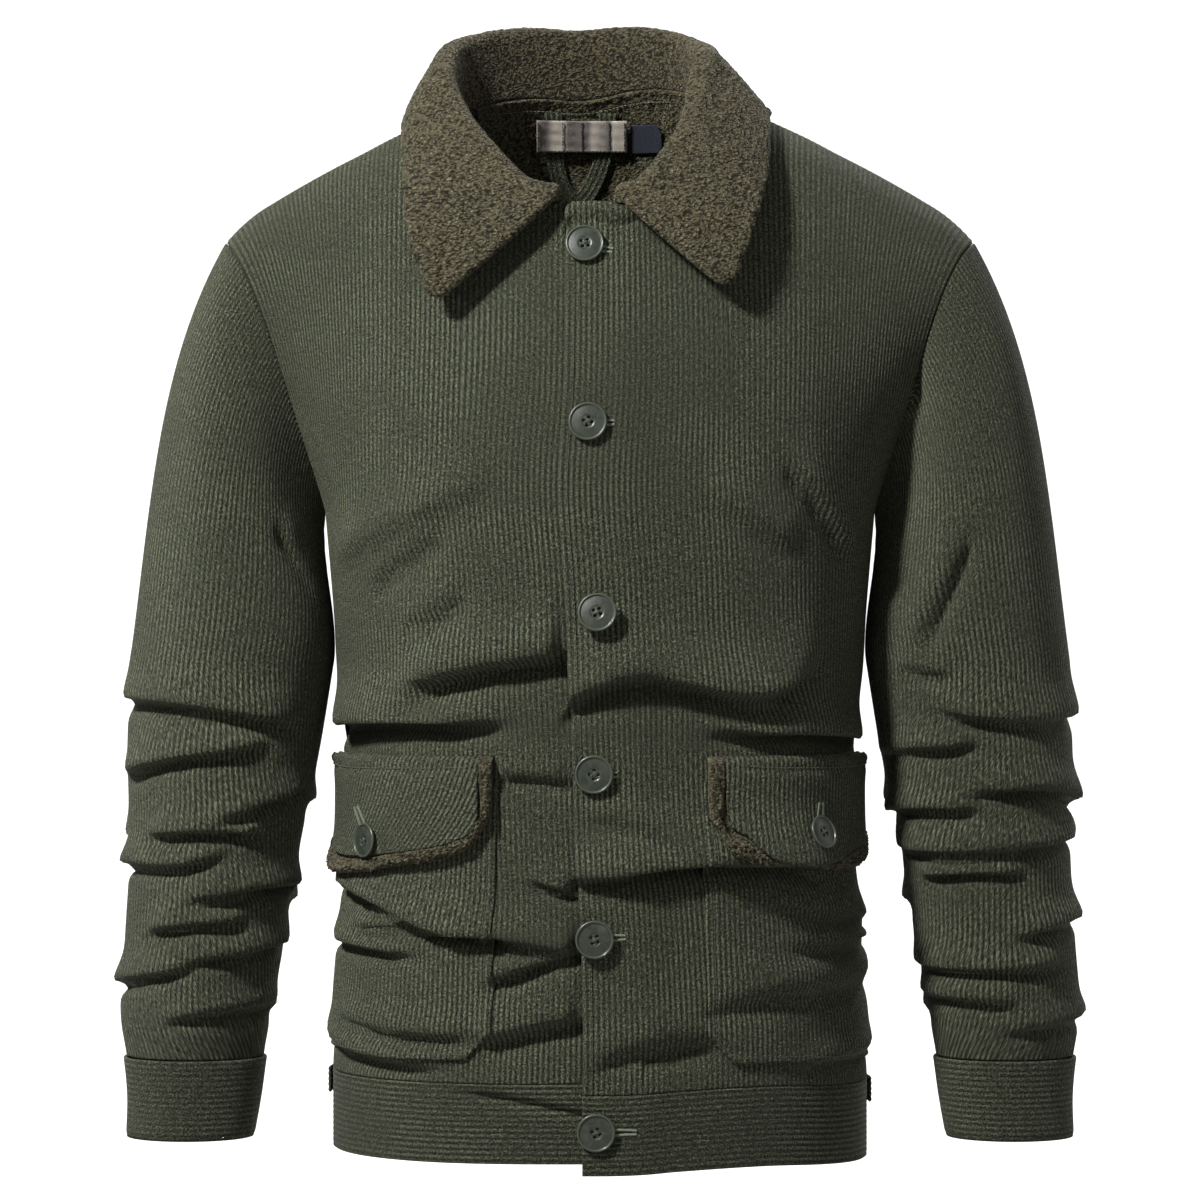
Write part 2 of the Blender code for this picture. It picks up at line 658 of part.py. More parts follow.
def shell(name, outer, inner, finish, tube=False):
    """A closed wall between two grids that share rows and columns. A tube's last column meets its first."""
    rows, columns = outer.shape[:2]
    made = bmesh.new()
    face_out, face_in = (
        [[made.verts.new(point * MM) for point in row] for row in grid] for grid in (outer, inner)
    )

    def strip(a, b, c, d):
        made.faces.new((a, b, c))
        made.faces.new((a, c, d))

    wraps = range(columns) if tube else range(columns - 1)
    for j in wraps:
        k = (j + 1) % columns
        for i in range(rows - 1):
            strip(face_out[i][j], face_out[i][k], face_out[i + 1][k], face_out[i + 1][j])
            strip(face_in[i][j], face_in[i][k], face_in[i + 1][k], face_in[i + 1][j])
        for i in (0, -1):
            strip(face_out[i][j], face_out[i][k], face_in[i][k], face_in[i][j])
    if not tube:
        for i in range(rows - 1):
            for j in (0, -1):
                strip(face_out[i][j], face_out[i + 1][j], face_in[i + 1][j], face_in[i][j])
    bmesh.ops.recalc_face_normals(made, faces=made.faces)
    mesh = bpy.data.meshes.new(name)
    made.to_mesh(mesh)
    made.free()
    return place(mesh, name, finish)


def laid_clear(outer, inward, wall, tree, gap=REST, rows=slice(None), columns=slice(None)):
    """The outer points, moved out until the inner face is this far above the pieces under it."""
    outer = outer.copy()
    movable = np.zeros(outer.shape[:2], bool)
    movable[rows, columns] = True
    corners = ((0, 0), (0, 1), (1, 1)), ((0, 0), (1, 1), (1, 0))
    shares = [np.array((a, b, 5 - a - b)) / 5 for a in range(6) for b in range(6 - a)]
    for _ in range(12):
        push = np.zeros(outer.shape[:2])
        for i, j in np.ndindex(outer.shape[0] - 1, outer.shape[1] - 1):
            for corner in corners:
                spots = [(i + di, j + dj) for di, dj in corner]
                if not all(movable[spot] for spot in spots):
                    continue
                at = np.array([outer[spot] + wall * inward[spot] for spot in spots])
                ways = np.array([inward[spot] for spot in spots])
                for share in shares:
                    point, way = share @ at, unit(share @ ways)
                    hit = tree.ray_cast(Vector((point - 30 * way) * MM), Vector(way), 0.06)[0]
                    if hit is not None:
                        short = gap - (np.array(hit) / MM - point) @ way
                        for spot, weight in zip(spots, share):
                            if weight:
                                push[spot] = max(push[spot], short)
        if push.max() < 0.01:
            break
        outer -= inward * push[..., None]
    return outer


def rows_of(panel, outs, levels):
    """Grids of points and directions for a panel: outs gives each row's places across."""
    made = [panel.row(outs(level), level) for level in levels]
    return np.array([points for points, _ in made]), np.array([normals for _, normals in made])


def edge_out(level, side):
    """Length of cloth from the centre line to a front's own edge, negative past the centre."""
    z = np.interp(level, (0.0, 1.0, 2.0), (HEM_SEAM_Z, ARMPIT_Z, NECK_FRONT_Z))
    edge = smooth(FRONT_EDGE, "z", "x", z)
    return edge if side > 0 else -(edge + LAP)


def front_outs(side):
    """The columns of a front: its edge, the shared ones, and the side seam or armhole."""

    def outs(level):
        first = edge_out(level, side)
        rise = max(level - 1, 0.0)
        last = (armhole_out(rise, False) if rise > 0 else FRONT_QUARTER) - SEAM
        inner = np.array(COLUMNS)
        squeeze = ease(inner, 190, 250) * (FRONT_QUARTER - SEAM - last)
        start = (first, first + 0.5 * (COLUMNS[0] - first))
        return np.concatenate([start, inner - squeeze, [last]])

    return outs


def back_outs(level):
    """The columns of the back, from side to side."""
    rise = max(level - 1, 0.0)
    last = (armhole_out(rise, True) if rise > 0 else BACK_QUARTER) - SEAM
    inner = np.array(BACK_COLUMNS)
    half = np.append(inner - ease(inner, 180, 244) * (BACK_QUARTER - last), last)
    return np.concatenate([-half[:0:-1], half])


def ridge_normals(points):
    """Directions straight out from the shoulder seam, the same for both panels that meet there."""
    along = unit(np.gradient(points, axis=0))
    up = np.array([0.0, 0.0, 1.0])
    return unit(up - along * along[:, 2:3])


LEVELS = [level_of(z) for z in LOWER_ROWS] + [1 + rise for rise in UPPER_ROWS]
ARMPIT_ROW = len(LOWER_ROWS) - 1


class Jacket:
    """All pieces, made in the order that they carry each other."""

    def __init__(self):
        self.cord = material("corduroy_olive", OLIVE, 0.9)
        self.band = material("corduroy_band", OLIVE_DARK, 0.9)
        self.pile = material("pile_brown_olive", PILE_BROWN, 0.95)
        self.plastic = material("button_green", BUTTON_GREEN, 0.25)
        self.satin = material("label_cream", CREAM, 0.5)
        self.navy = material("tab_navy", NAVY, 0.6)
        self.panels = {}
        self.insets = {}

    def sleeve_starts(self, side):
        """Where the sleeve's first ring lies, and the inward direction that it shares with the body there."""
        points, normals, angles = armhole_loop(side)
        along = unit(np.roll(points, -1, axis=0) - np.roll(points, 1, axis=0)) * side
        into_body = unit(np.cross(along, normals))
        leave = cap_start(angles, side)
        sleeve_normal = unit(np.cross(along, leave))
        inset = -unit(sleeve_normal + normals + np.array([0.0, 0.0, -0.12]))
        starts = points + 2 * SEAM * unit(leave - into_body)
        return starts, inset, angles, leave

    def body(self):
        """The two fronts and the back."""
        for side in (-1, 1):
            self.insets[side] = self.sleeve_starts(side)
        grids = {}
        for name, panel, outs in (
            ("front_left", Panel(-1, False), front_outs(-1)),
            ("front_right", Panel(1, False), front_outs(1)),
            ("back", Panel(0, True), back_outs),
        ):
            outer, normals = rows_of(panel, outs, LEVELS)
            inward = -normals
            inward[-1] = -ridge_normals(outer[-1])
            self.share_armhole(name, inward)
            outer[-1, :, 1] += SEAM if panel.behind else -SEAM
            outer[0, :, 2] += SEAM
            grids[name] = (panel, outer, inward)
        self.panels = grids

    def share_armhole(self, name, inward):
        """Turns the inner edge at the armholes to the direction that the sleeve's edge has too."""
        count = len(UPPER_ROWS)
        for side, column in ((-1, 0), (1, -1)):
            if name.startswith("front"):
                if (side > 0) != (name == "front_right"):
                    continue
                column = -1
            inset = self.insets[side][1]
            if name == "back":
                order = [(count + i) % len(inset) for i in range(count + 1)]
            else:
                order = [count - i for i in range(count + 1)]
            inward[ARMPIT_ROW:, column] = inset[order]

    def sleeves(self):
        """The sleeves, each a tube from its armhole to its cuff seam."""
        for side, name in ((-1, "left"), (1, "right")):
            starts, inset, angles, leaving = self.insets[side]
            rows = [sleeve_cap(starts, leaving, angles, along, side) for along in CAP_ROWS]
            rows += [sleeve_section(angles, z, side) for z in (*SLEEVE_ROWS, CUFF_SEAM_Z + SEAM)]
            grid = np.array(rows)
            normals = grid_normals(grid, tube=True) * side
            relief, down = sleeve_relief(angles[None, :], grid[..., 2], side)
            outer = grid + normals * relief[..., None]
            outer[..., 2] -= down
            inward = -normals
            inward[0] = inset
            inward[-1] = -unit(normals[-1] * (1, 1, 0))
            shell(f"sleeve_{name}", outer, outer + WALL * inward, self.cord, tube=True)
            band = np.array([sleeve_section(angles, z, side) for z in (CUFF_Z, -626.0, -609.0, CUFF_SEAM_Z - SEAM)])
            level = unit(grid_normals(band, tube=True) * -side * (1, 1, 0))
            shell(f"cuff_{name}", band, band - WALL * level, self.band, tube=True)

    def hem(self):
        """The hem band in three lengths, sewn under the panels, which it follows."""
        drops = (50.0, 33.0, 16.0, SEAM)
        for name, (panel, _, _) in list(self.panels.items()):
            outs = {"front_left": front_outs(-1), "front_right": front_outs(1), "back": back_outs}[name]
            across = outs(0.0)
            rows = [panel.row(across, 0.0, below) for below in drops]
            outer = np.array([points for points, _ in rows])
            inward = -np.array([normals for _, normals in rows])
            piece = name.replace("front", "hem_front") if name != "back" else "hem_back"
            self.panels[piece] = (panel, outer, inward)

    def lap(self):
        """Lays the right front and its hem over the left ones, then makes the walls of all panels and bands."""
        under = self.tree("front_left", "hem_front_left")
        for name in ("front_right", "hem_front_right"):
            panel, outer, inward = self.panels[name]
            self.panels[name] = panel, laid_clear(outer, inward, WALL, under, 0.6, columns=slice(0, 5)), inward
        for name, (_, outer, inward) in self.panels.items():
            shell(name, outer, outer + WALL * inward, self.band if name.startswith("hem") else self.cord)

    def on_panel(self, name, rows, columns, lift, thick):
        """Outer and inner grids of a piece that lies on a panel's own points."""
        _, outer, inward = self.panels[name]
        points = outer[rows][:, columns]
        out = -inward[rows][:, columns]
        return points + out * (lift + thick), points + out * lift

    def pockets(self):
        """Patch pockets with a clipped lower corner, sewn on the fronts."""
        low, high = LOWER_ROWS.index(POCKET_BOTTOM_Z), LOWER_ROWS.index(POCKET_TOP_Z)
        first, last = 2 + COLUMNS.index(POCKET_INNER), 2 + COLUMNS.index(POCKET_OUTER)
        rows = list(range(low, high + 1))
        columns = list(range(first, last + 1))
        for name in ("left", "right"):
            outer, inner = self.on_panel(f"front_{name}", rows, columns, REST, WALL)
            for grid in (outer, inner):
                grid[0, 0] = (grid[1, 0] + grid[0, 1]) / 2
            shell(f"pocket_{name}", outer, inner, self.cord)
            self.panels[f"pocket_{name}"] = (None, outer, unit(inner - outer))

    def flaps(self):
        """Pocket flaps backed with pile, whose edge shows all round. The backing shares the flap's own points."""
        first = 2 + COLUMNS.index(FLAP_INNER)
        outs = np.array(COLUMNS[first - 2 :])
        drops = smooth(FLAP_OUTLINE, "around", "drop", outs)
        shares = np.array((1.0, 0.78, 0.52, 0.27, 0.1, 0.0))
        for side, name in ((-1, "left"), (1, "right")):
            panel = Panel(side, False)
            places = [[(out, share * fall) for out, fall in zip(outs, drops)] for share in shares]
            places.insert(0, [(out, fall + PILE_SHOWS) for out, fall in zip(outs, drops)])
            places = [[(outs[0] - PILE_SHOWS, row[0][1]), *row] for row in places]
            made = [[panel.row([out], level_of(FLAP_TOP_Z - fall)) for out, fall in row] for row in places]
            points = np.array([[point[0] for point, _ in row] for row in made])
            normals = np.array([[normal[0] for _, normal in row] for row in made])
            hover = (REST + FLAP_HOVER * ease((1.0, *shares), 0.0, 0.27))[:, None, None]
            under = self.tree(f"pocket_{name}", f"front_{name}", "back")
            backing = slice(0, len(shares))
            base = points + normals * hover
            top = laid_clear(base[backing] + normals[backing] * FLAP_PILE, -normals[backing], FLAP_PILE, under, 0.8)
            shell(f"flap_pile_{name}", top, top - normals[backing] * FLAP_PILE, self.pile)
            lower = (top + normals[backing] * REST)[1:, 1:]
            outward = normals[1:, 1:]
            base = np.concatenate([lower, base[-1:, 1:]])
            outer = laid_clear(base + outward * WALL, -outward, WALL, under)
            shell(f"flap_{name}", outer, outer - outward * WALL, self.cord)
            self.panels[f"flap_{name}"] = (panel, outer, -outward)

    def neck_seam(self, turns, side):
        """Points of the neck seam along the panels' own edges, turns in degrees from the centre front."""
        out = NECK_AROUND * np.sin(np.radians(turns))
        halves = []
        front = "front_right" if side > 0 else "front_left"
        for name, outs in ((front, front_outs(side)(2.0)), ("back", back_outs(2.0) * side)):
            edge = self.panels[name][1][-1]
            order = np.argsort(outs)
            halves.append(np.stack([np.interp(out, outs[order], edge[order, k]) for k in range(3)], axis=-1))
        return np.where((turns > 90)[:, None], halves[1], halves[0])

    def collar_paths(self, turns, side):
        """The face of the collar that shows, from the neck seam over the roll to its edge, a path a turn."""
        seam = self.neck_seam(turns, side)
        radial = unit(np.stack([side * np.sin(np.radians(turns)), -np.cos(np.radians(turns)), 0 * turns], -1))
        tangent = unit(np.gradient(seam, axis=0))
        up = unit(np.array([0.0, 0.0, 1.0]) - tangent * tangent[:, 2:3])
        base = seam - COLLAR_INSET * radial + REST * up
        stand = smooth(COLLAR, "turn", "stand", turns)
        stand = (stand - COLLAR_SINK[side] * ease(turns, 88, 122) * ease(turns, 180, 128))[:, None]
        top = base + stand * unit(up + 0.10 * radial)
        top[:, 0] += COLLAR_SHIFT[side] * ease(turns, 45, 80) * ease(turns, 145, 105)
        paths = [base, base + 0.5 * (top - base), top]
        centre = top + COLLAR_ROLL * radial
        for angle in (140, 100, 60, 20):
            a = math.radians(angle)
            paths.append(centre + COLLAR_ROLL * (math.cos(a) * radial + math.sin(a) * np.array([0, 0, 1.0])))
        edge = np.stack([smooth(COLLAR, "turn", f"edge_{axis}", turns) for axis in "xyz"], axis=-1)
        edge[:, 0] = NECK_X + side * edge[:, 0]
        edge[:, 2] -= COLLAR_TIP_DROP[side] * ease(turns, 60, 11)
        edge[:, 2] += COLLAR_LIFT[side] * ease(turns, 55, 90) * ease(turns, 140, 100)
        begin = paths[-1]
        control = begin + 0.3 * (edge - begin) + np.array([0, 0, -6.0]) + 8 * radial
        for t in (0.2, 0.4, 0.6, 0.8, 1.0):
            paths.append((1 - t) ** 2 * begin + 2 * t * (1 - t) * control + t * t * edge)
        level = unit(radial - tangent * np.sum(radial * tangent, axis=-1, keepdims=True))
        hidden = [level, level, level] + [unit(centre - paths[k]) for k in range(3, 7)]
        return np.array(paths), np.array(hidden)

    def collar(self):
        """The pile collar, laid clear of the body that it rests on."""
        turns = np.array(COLLAR_TURNS)
        left, left_hidden = self.collar_paths(turns, -1)
        right, right_hidden = self.collar_paths(turns, 1)
        grid = np.concatenate([left, right[:, -2::-1]], axis=1)
        start = np.concatenate([left_hidden, right_hidden[:, -2::-1]], axis=1)
        hidden = grid_normals(grid)
        hidden *= np.sign(np.sum(hidden[6] * start[6]))
        hidden[: len(start)] = start
        rest = self.tree("front_left", "front_right", "back")
        grid = laid_clear(grid, hidden, PILE_WALL, rest, gap=1.0, rows=slice(6, None))
        shell("collar", grid, grid + PILE_WALL * hidden, self.pile)

    def tree(self, *names):
        """The outer faces of these pieces, to lay others on."""
        vertices, faces = [], []
        for name in names:
            _, outer, inward = self.panels[name]
            rows, columns = outer.shape[:2]
            start = len(vertices)
            vertices += [Vector(point * MM) for point in outer.reshape(-1, 3)]
            for i in range(rows - 1):
                for j in range(columns - 1):
                    corner = start + i * columns + j
                    above = corner + columns
                    for face in ((corner, corner + 1, above + 1), (corner, above + 1, above)):
                        a, b, c = (np.array(vertices[k]) for k in face)
                        facing = np.dot(np.cross(b - a, c - a), -inward[i, j])
                        faces.append(face if facing > 0 else face[::-1])
        return BVHTree.FromPolygons(vertices, faces)

    def neck_facing(self):
        """The pile facing inside the back neck, where it shows, with the hanger loop, label and size tab on it."""
        _, outer, inward = self.panels["back"]
        middle = len(BACK_COLUMNS)
        spots = np.ix_(range(len(LEVELS) - 4, len(LEVELS)), range(middle - 3, middle + 4))
        grid, turn = outer[spots].copy(), inward[spots].copy()
        turn[-1] = turn[-2]
        grid[-1, :, 2] -= 0.3
        near = WALL + REST
        shell("neck_facing", grid + near * turn, grid + (near + FACING_WALL) * turn, self.pile)
        self.panels["neck_facing"] = (None, grid + (near + FACING_WALL) * turn, -turn)
        path = np.stack([LOOP_PATH["x"], LOOP_PATH["z"]], axis=-1)
        along = unit(np.gradient(path, axis=0))
        across = np.stack([along[:, 1], -along[:, 0]], axis=-1) * LOOP_WIDTH / 2
        loop = np.stack([path - across, path, path + across], axis=1)
        self.on_facing("hanger_loop", loop, REST, LOOP_THICK, self.cord)
        over_loop = 4 * REST + LOOP_THICK
        for name, piece, lift, finish in (
            ("neck_label", LABEL, over_loop, self.satin),
            ("size_tab", SIZE_TAB, REST, self.navy),
        ):
            xs, zs = np.linspace(*piece["x"], 5), np.linspace(*piece["z"], 3)
            self.on_facing(name, np.stack(np.meshgrid(xs, zs), axis=-1), lift, piece["thick"], finish)

    def on_facing(self, name, spots, lift, thick, finish):
        """A flat piece on the facing, from the x and z of its points."""
        tree = self.tree("neck_facing")
        ahead = np.array([0.0, -FACING_SLANT, 0.0])
        base = np.empty((*spots.shape[:2], 3))
        for i, j in np.ndindex(spots.shape[:2]):
            x, z = spots[i, j]
            hit = tree.ray_cast(Vector((x * MM, 0.0, z * MM)), Vector((0.0, 1.0, 0.0)))[0]
            base[i, j] = np.array(hit) / MM
        shell(name, base + (lift + thick) * ahead, base + lift * ahead, finish)

    def hem_tabs(self):
        """Short tabs on the hem band behind each side seam, held by a button."""
        panel = self.panels["hem_back"][0]
        outs = back_outs(0.0)
        for side, name in ((-1, "left"), (1, "right")):
            columns = [k for k, out in enumerate(outs) if side * out > TAB_BUTTON_COLUMN - 25]
            rows = [panel.row(outs[columns], 0.0, below) for below in TAB_DROPS]
            base = np.array([points for points, _ in rows])
            normals = np.array([out for _, out in rows])
            outer = base + normals * (2 * REST + WALL)
            shell(f"hem_tab_{name}", outer, base + normals * 2 * REST, self.band)
            k = int(np.argmin(np.abs(outs[columns] - side * TAB_BUTTON_COLUMN)))
            button = turned_button(f"button_tab_{name}", TAB_BUTTON, self.plastic)
            seat(button, outer[1, k], normals[1, k], 2 * REST)

    def buttons(self):
        """The front buttons on the lap, and one on each pocket flap."""
        for i in range(len(FRONT_BUTTONS["x"])):
            on = ("hem_front_right",) if i == 5 else ("front_right", "front_left")
            self.button(f"button_front_{i + 1}", FRONT_BUTTONS["x"][i], FRONT_BUTTONS["z"][i], BUTTON, on)
        for side, name in ((-1, "left"), (1, "right")):
            self.button(f"button_pocket_{name}", *POCKET_BUTTONS[side], POCKET_BUTTON, (f"flap_{name}",))

    def button(self, name, x, z, across, on):
        """A button on the highest part of the pieces under it, facing as they do on average."""
        tree = self.tree(*on)
        spots = [(x, z)]
        for radius in (0.25 * across, 0.5 * across):
            spots += [(x + radius * math.cos(a), z + radius * math.sin(a)) for a in np.arange(0, 2 * math.pi, 0.4)]
        hits = [tree.ray_cast(Vector((u * MM, -0.4, v * MM)), Vector((0.0, 1.0, 0.0)))[:2] for u, v in spots]
        points = np.array([hit / MM for hit, _ in hits if hit is not None])
        normal = unit(np.mean([np.array(facing) for hit, facing in hits if hit is not None], axis=0))
        made = turned_button(name, across, self.plastic)
        seat(made, points[0], normal, np.max((points - points[0]) @ normal) + REST)


def turned_button(name, across, finish):
    """A round button with a raised rim, turned about its own axis, its back on z = 0."""
    half = across / 2
    profile = ((0.0, 2.8), (0.66 * half, 2.8), (0.82 * half, 4.3), (half, 3.0), (0.72 * half, 0.0), (0.0, 0.0))
    mesh = bpy.data.meshes.new(name)
    edges = [(i, i + 1) for i in range(len(profile) - 1)]
    mesh.from_pydata([(r * MM, 0.0, z * MM) for r, z in profile], edges, [])
    made = place(mesh, name, finish)
    screw = made.modifiers.new("turn", "SCREW")
    screw.axis = "Z"
    screw.steps = screw.render_steps = 14
    screw.use_merge_vertices = True
    screw.merge_threshold = 0.00001
    return made


def seat(made, point, normal, clearance):
    """Puts a button's back this far above a point, facing out."""
    turn = Vector(normal).to_track_quat("Z", "Y").to_matrix().to_4x4()
    made.matrix_world = Matrix.Translation(Vector((point + normal * clearance) * MM)) @ turn


def main():
    for old in list(bpy.data.objects):
        bpy.data.objects.remove(old)
    bpy.context.scene.collection.children.link(bpy.data.collections.new("jacket"))
    jacket = Jacket()
    jacket.body()
    jacket.sleeves()
    jacket.hem()
    jacket.lap()
    jacket.pockets()
    jacket.flaps()
    jacket.collar()
    jacket.neck_facing()
    jacket.hem_tabs()
    jacket.buttons()


main()
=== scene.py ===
"""The looks of a hip-length corduroy jacket with a pile collar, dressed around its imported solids.

Sizes are millimetres until a mesh is made. The front faces -Y, and +X is on the right of a person
who looks at it. "out" is the length of cloth from the centre line towards the side seam. "level"
runs from 0 at the hem seam to 1 at the armpit and 2 at the neck and shoulder. side is 1 on the
right, -1 on the left and 0 on the back.
"""

from __future__ import annotations

import json
import logging
import math
from dataclasses import dataclass, field
from enum import Enum
from typing import Callable, Iterable

import bpy
import numpy as np
from mathutils import Matrix, Vector, noise
from mathutils.bvhtree import BVHTree

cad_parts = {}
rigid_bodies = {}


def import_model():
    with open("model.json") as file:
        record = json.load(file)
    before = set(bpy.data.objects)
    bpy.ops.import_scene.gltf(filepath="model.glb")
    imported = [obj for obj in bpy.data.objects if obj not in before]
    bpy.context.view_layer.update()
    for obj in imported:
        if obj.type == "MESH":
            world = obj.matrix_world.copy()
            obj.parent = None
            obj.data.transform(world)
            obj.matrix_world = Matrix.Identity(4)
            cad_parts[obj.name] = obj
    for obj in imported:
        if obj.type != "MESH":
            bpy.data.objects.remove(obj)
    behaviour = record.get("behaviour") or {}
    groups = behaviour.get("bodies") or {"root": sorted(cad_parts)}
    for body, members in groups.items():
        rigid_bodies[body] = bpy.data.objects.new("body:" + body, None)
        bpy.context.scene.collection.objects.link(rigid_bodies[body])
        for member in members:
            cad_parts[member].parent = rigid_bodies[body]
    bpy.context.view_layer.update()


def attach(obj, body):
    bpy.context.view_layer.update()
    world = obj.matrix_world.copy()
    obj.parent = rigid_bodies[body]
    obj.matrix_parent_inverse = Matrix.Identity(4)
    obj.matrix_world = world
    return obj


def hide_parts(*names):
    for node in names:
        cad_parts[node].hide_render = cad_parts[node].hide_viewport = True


Array = np.ndarray
Colour = tuple[float, float, float]
MM = 0.001
LOG = logging.getLogger("jacket")


class Side(Enum):
    """Which half of the jacket, as a person who looks at it sees it."""

    LEFT = -1
    RIGHT = 1

    @property
    def word(self) -> str:
        """The half's name in piece names."""
        return self.name.lower()


class Held(Enum):
    """How a piece of cloth is held."""

    DRAPED = "draped"
    GATHERED = "gathered"
    LAID = "laid"


class Table:
    """Named columns of sizes."""

    def __init__(self, columns: str, *rows: tuple[float, ...]) -> None:
        """Takes the columns' names and a row for each section or fold."""
        self.columns = dict(zip(columns.split(), np.array(rows, float).T))

    def __getitem__(self, column: str) -> Array:
        """One column."""
        return self.columns[column]

    def rows(self) -> list[dict[str, float]]:
        """The rows, each by column name."""
        return [dict(zip(self.columns, row)) for row in zip(*self.columns.values())]

    def read(self, column: str, at: Array | float) -> Array:
        """A column's values at places along the first column, on a smooth curve through the rows."""
        xs, ys = next(iter(self.columns.values())), self.columns[column]
        slope = np.gradient(ys, xs)
        at = np.clip(at, xs[0], xs[-1])
        i = np.clip(np.searchsorted(xs, at) - 1, 0, len(xs) - 2)
        step = xs[i + 1] - xs[i]
        t = (at - xs[i]) / step
        rise = t * t * (3 - 2 * t)
        bend = step * t * (1 - t) * ((1 - t) * slope[i] - t * slope[i + 1])
        return ys[i] + rise * (ys[i + 1] - ys[i]) + bend


def ease(value: Array | float, start: float, end: float) -> Array:
    """0 at start and 1 at end, soft at both."""
    t = np.clip((np.asarray(value, float) - start) / (end - start), 0.0, 1.0)
    return t * t * (3 - 2 * t)


def unit(vectors: Array) -> Array:
    """The vectors at length 1."""
    vectors = np.asarray(vectors, float)
    return vectors / np.maximum(np.linalg.norm(vectors, axis=-1, keepdims=True), 1e-9)


def lengths(points: Array, axis: int = 0) -> Array:
    """How far along a grid's axis each point is from the first one."""
    steps = np.linalg.norm(np.diff(points, axis=axis), axis=-1)
    pad = [(0, 0)] * steps.ndim
    pad[axis] = (1, 0)
    return np.cumsum(np.pad(steps, pad), axis=axis)


def stacked(rows: Iterable[tuple[Array, Array]]) -> tuple[Array, Array]:
    """Rows of points and directions as one grid of each."""
    points, directions = zip(*rows)
    return np.array(points), np.array(directions)


def bell(value: Array | float, middle: float, width: float) -> Array:
    """1 at the middle and near 0 a few widths from it."""
    return np.exp(-(((value - middle) / width) ** 2))


def runs(start: float, stop: float, step: float, near: tuple[float, ...] = (0.5, 1.1, 1.9)) -> Array:
    """Places from start to stop about a step apart, with more of them near both ends.

    Args:
        start: the first place.
        stop: the last place.
        step: the space between places.
        near: how far the extra places are from each end.

    Returns:
        The places in order.
    """
    sign = 1 if stop > start else -1
    places = set(np.linspace(start, stop, max(2, round(abs(stop - start) / step)) + 1).round(4))
    places |= {start + sign * gap for gap in near} | {stop - sign * gap for gap in near}
    return np.array(sorted(places, reverse=sign < 0))


FRONT_EDGE = Table(
    "z x",
    (-650.0, -13.0),
    (-570.0, -11.0),
    (-500.0, -12.5),
    (-440.0, -16.8),
    (-380.0, -18.7),
    (-280.0, -23.0),
    (-220.0, -26.5),
    (-150.0, -21.0),
    (-45.0, -15.0),
)
BODY = Table(
    "z half_width front back",
    (-650.0, 175.0, 126.0, 120.0),
    (-595.0, 173.0, 128.0, 121.0),
    (-540.0, 170.0, 130.0, 122.0),
    (-480.0, 164.5, 131.0, 122.0),
    (-430.0, 160.5, 131.0, 121.0),
    (-385.0, 162.0, 130.0, 121.0),
    (-345.0, 169.5, 130.0, 121.0),
    (-300.0, 172.5, 131.0, 122.0),
    (-235.0, 178.0, 130.0, 122.0),
)
SHOULDER = Table(
    "x z",
    (60.0, 40.0),
    (83.0, 30.0),
    (110.0, 18.0),
    (135.5, 6.5),
    (154.0, -3.0),
    (174.0, -13.0),
    (192.5, -23.0),
    (209.0, -32.5),
    (224.0, -42.0),
    (235.0, -51.5),
    (243.0, -60.0),
)
SLEEVE = Table(
    "z centre half_width half_depth forward",
    (-638.0, 264.5, 39.0, 37.0, 20.0),
    (-612.0, 262.0, 41.0, 39.0, 18.0),
    (-586.5, 261.5, 44.0, 42.0, 17.0),
    (-566.0, 261.5, 47.5, 48.0, 16.0),
    (-510.0, 255.5, 51.5, 54.0, 13.0),
    (-461.5, 250.5, 54.0, 58.0, 10.0),
    (-383.5, 243.5, 62.5, 63.0, 6.0),
    (-330.0, 238.5, 66.0, 66.0, 3.0),
)

FOLD_COLUMNS = "x0 z0 x1 z1 bow sway ridge valley width lean"
LEFT_FOLDS = Table(
    FOLD_COLUMNS,
    (-165, -281, -60, -228, 0, 0, 6, 0, 14, 0),
    (-145, -292, -92, -253, 0, 0, 2, 3, 12, 0),
    (-122, -318, -80, -294, 0, 0, 3, 4, 11, 0),
    (-125, -357, 20, -331, 6, 0, 11, 6, 17, 4),
    (-190, -381, -55, -376, 5, 0, 10, 9, 13, 4),
    (-68, -406, 5, -411, 0, 0, 3, 3, 9, 0),
    (-195, -474, 5, -512, 0, 5, 8, 5, 11, 3),
    (-156, -503, -66, -503, 3, 0, 4, 5, 7, 2),
    (-215, -515, -108, -520, 3, 0, 5, 5, 8, 2),
    (-46, -470, 10, -486, 0, 0, 4, 5, 8, 2),
    (-72, -537, 10, -512, 3, 0, 6, 5, 10, 2),
    (-165, -561, -72, -569, -4, 0, 4, 3, 9, 0),
    (-76, -577, 8, -559, 3, 0, 6, 4, 15, 2),
    (-200, -568, -92, -590, -4, 0, 4, 3, 8, 0),
    (-92, -601, 6, -620, 2, 0, 1, 2.5, 8, 0),
)
RIGHT_FOLDS = Table(
    FOLD_COLUMNS,
    (185, -100, 199, -158, 0, 0, 3, 3, 10, 0),
    (112, -208, 156, -272, 0, 0, 4, 3, 12, 0),
    (58, -230, 118, -270, 0, 0, 4, 1, 13, 0),
    (-30, -378, 140, -338, 6, 14.5, 12, 6, 17, 4),
    (66, -381, 190, -393, 6, 0, 9, 6, 12, 4),
    (-14, -433, 50, -442, 4, 0, 3, 2, 8, 0),
    (-32, -477, 150, -470, 13, 0, 12, 7, 15, 6),
    (104, -487, 200, -503, 3, 0, 6, 5, 8, 3),
    (116, -514, 205, -512, 3, 0, 6, 4, 10, 3),
    (60, -552, 200, -538, 5, 0, 4, 3, 14, 0),
    (-10, -588, 78, -574, 6, 0, 4, 4, 18, 0),
    (120, -588, 200, -578, 4, 0, 3, 2, 8, 0),
)
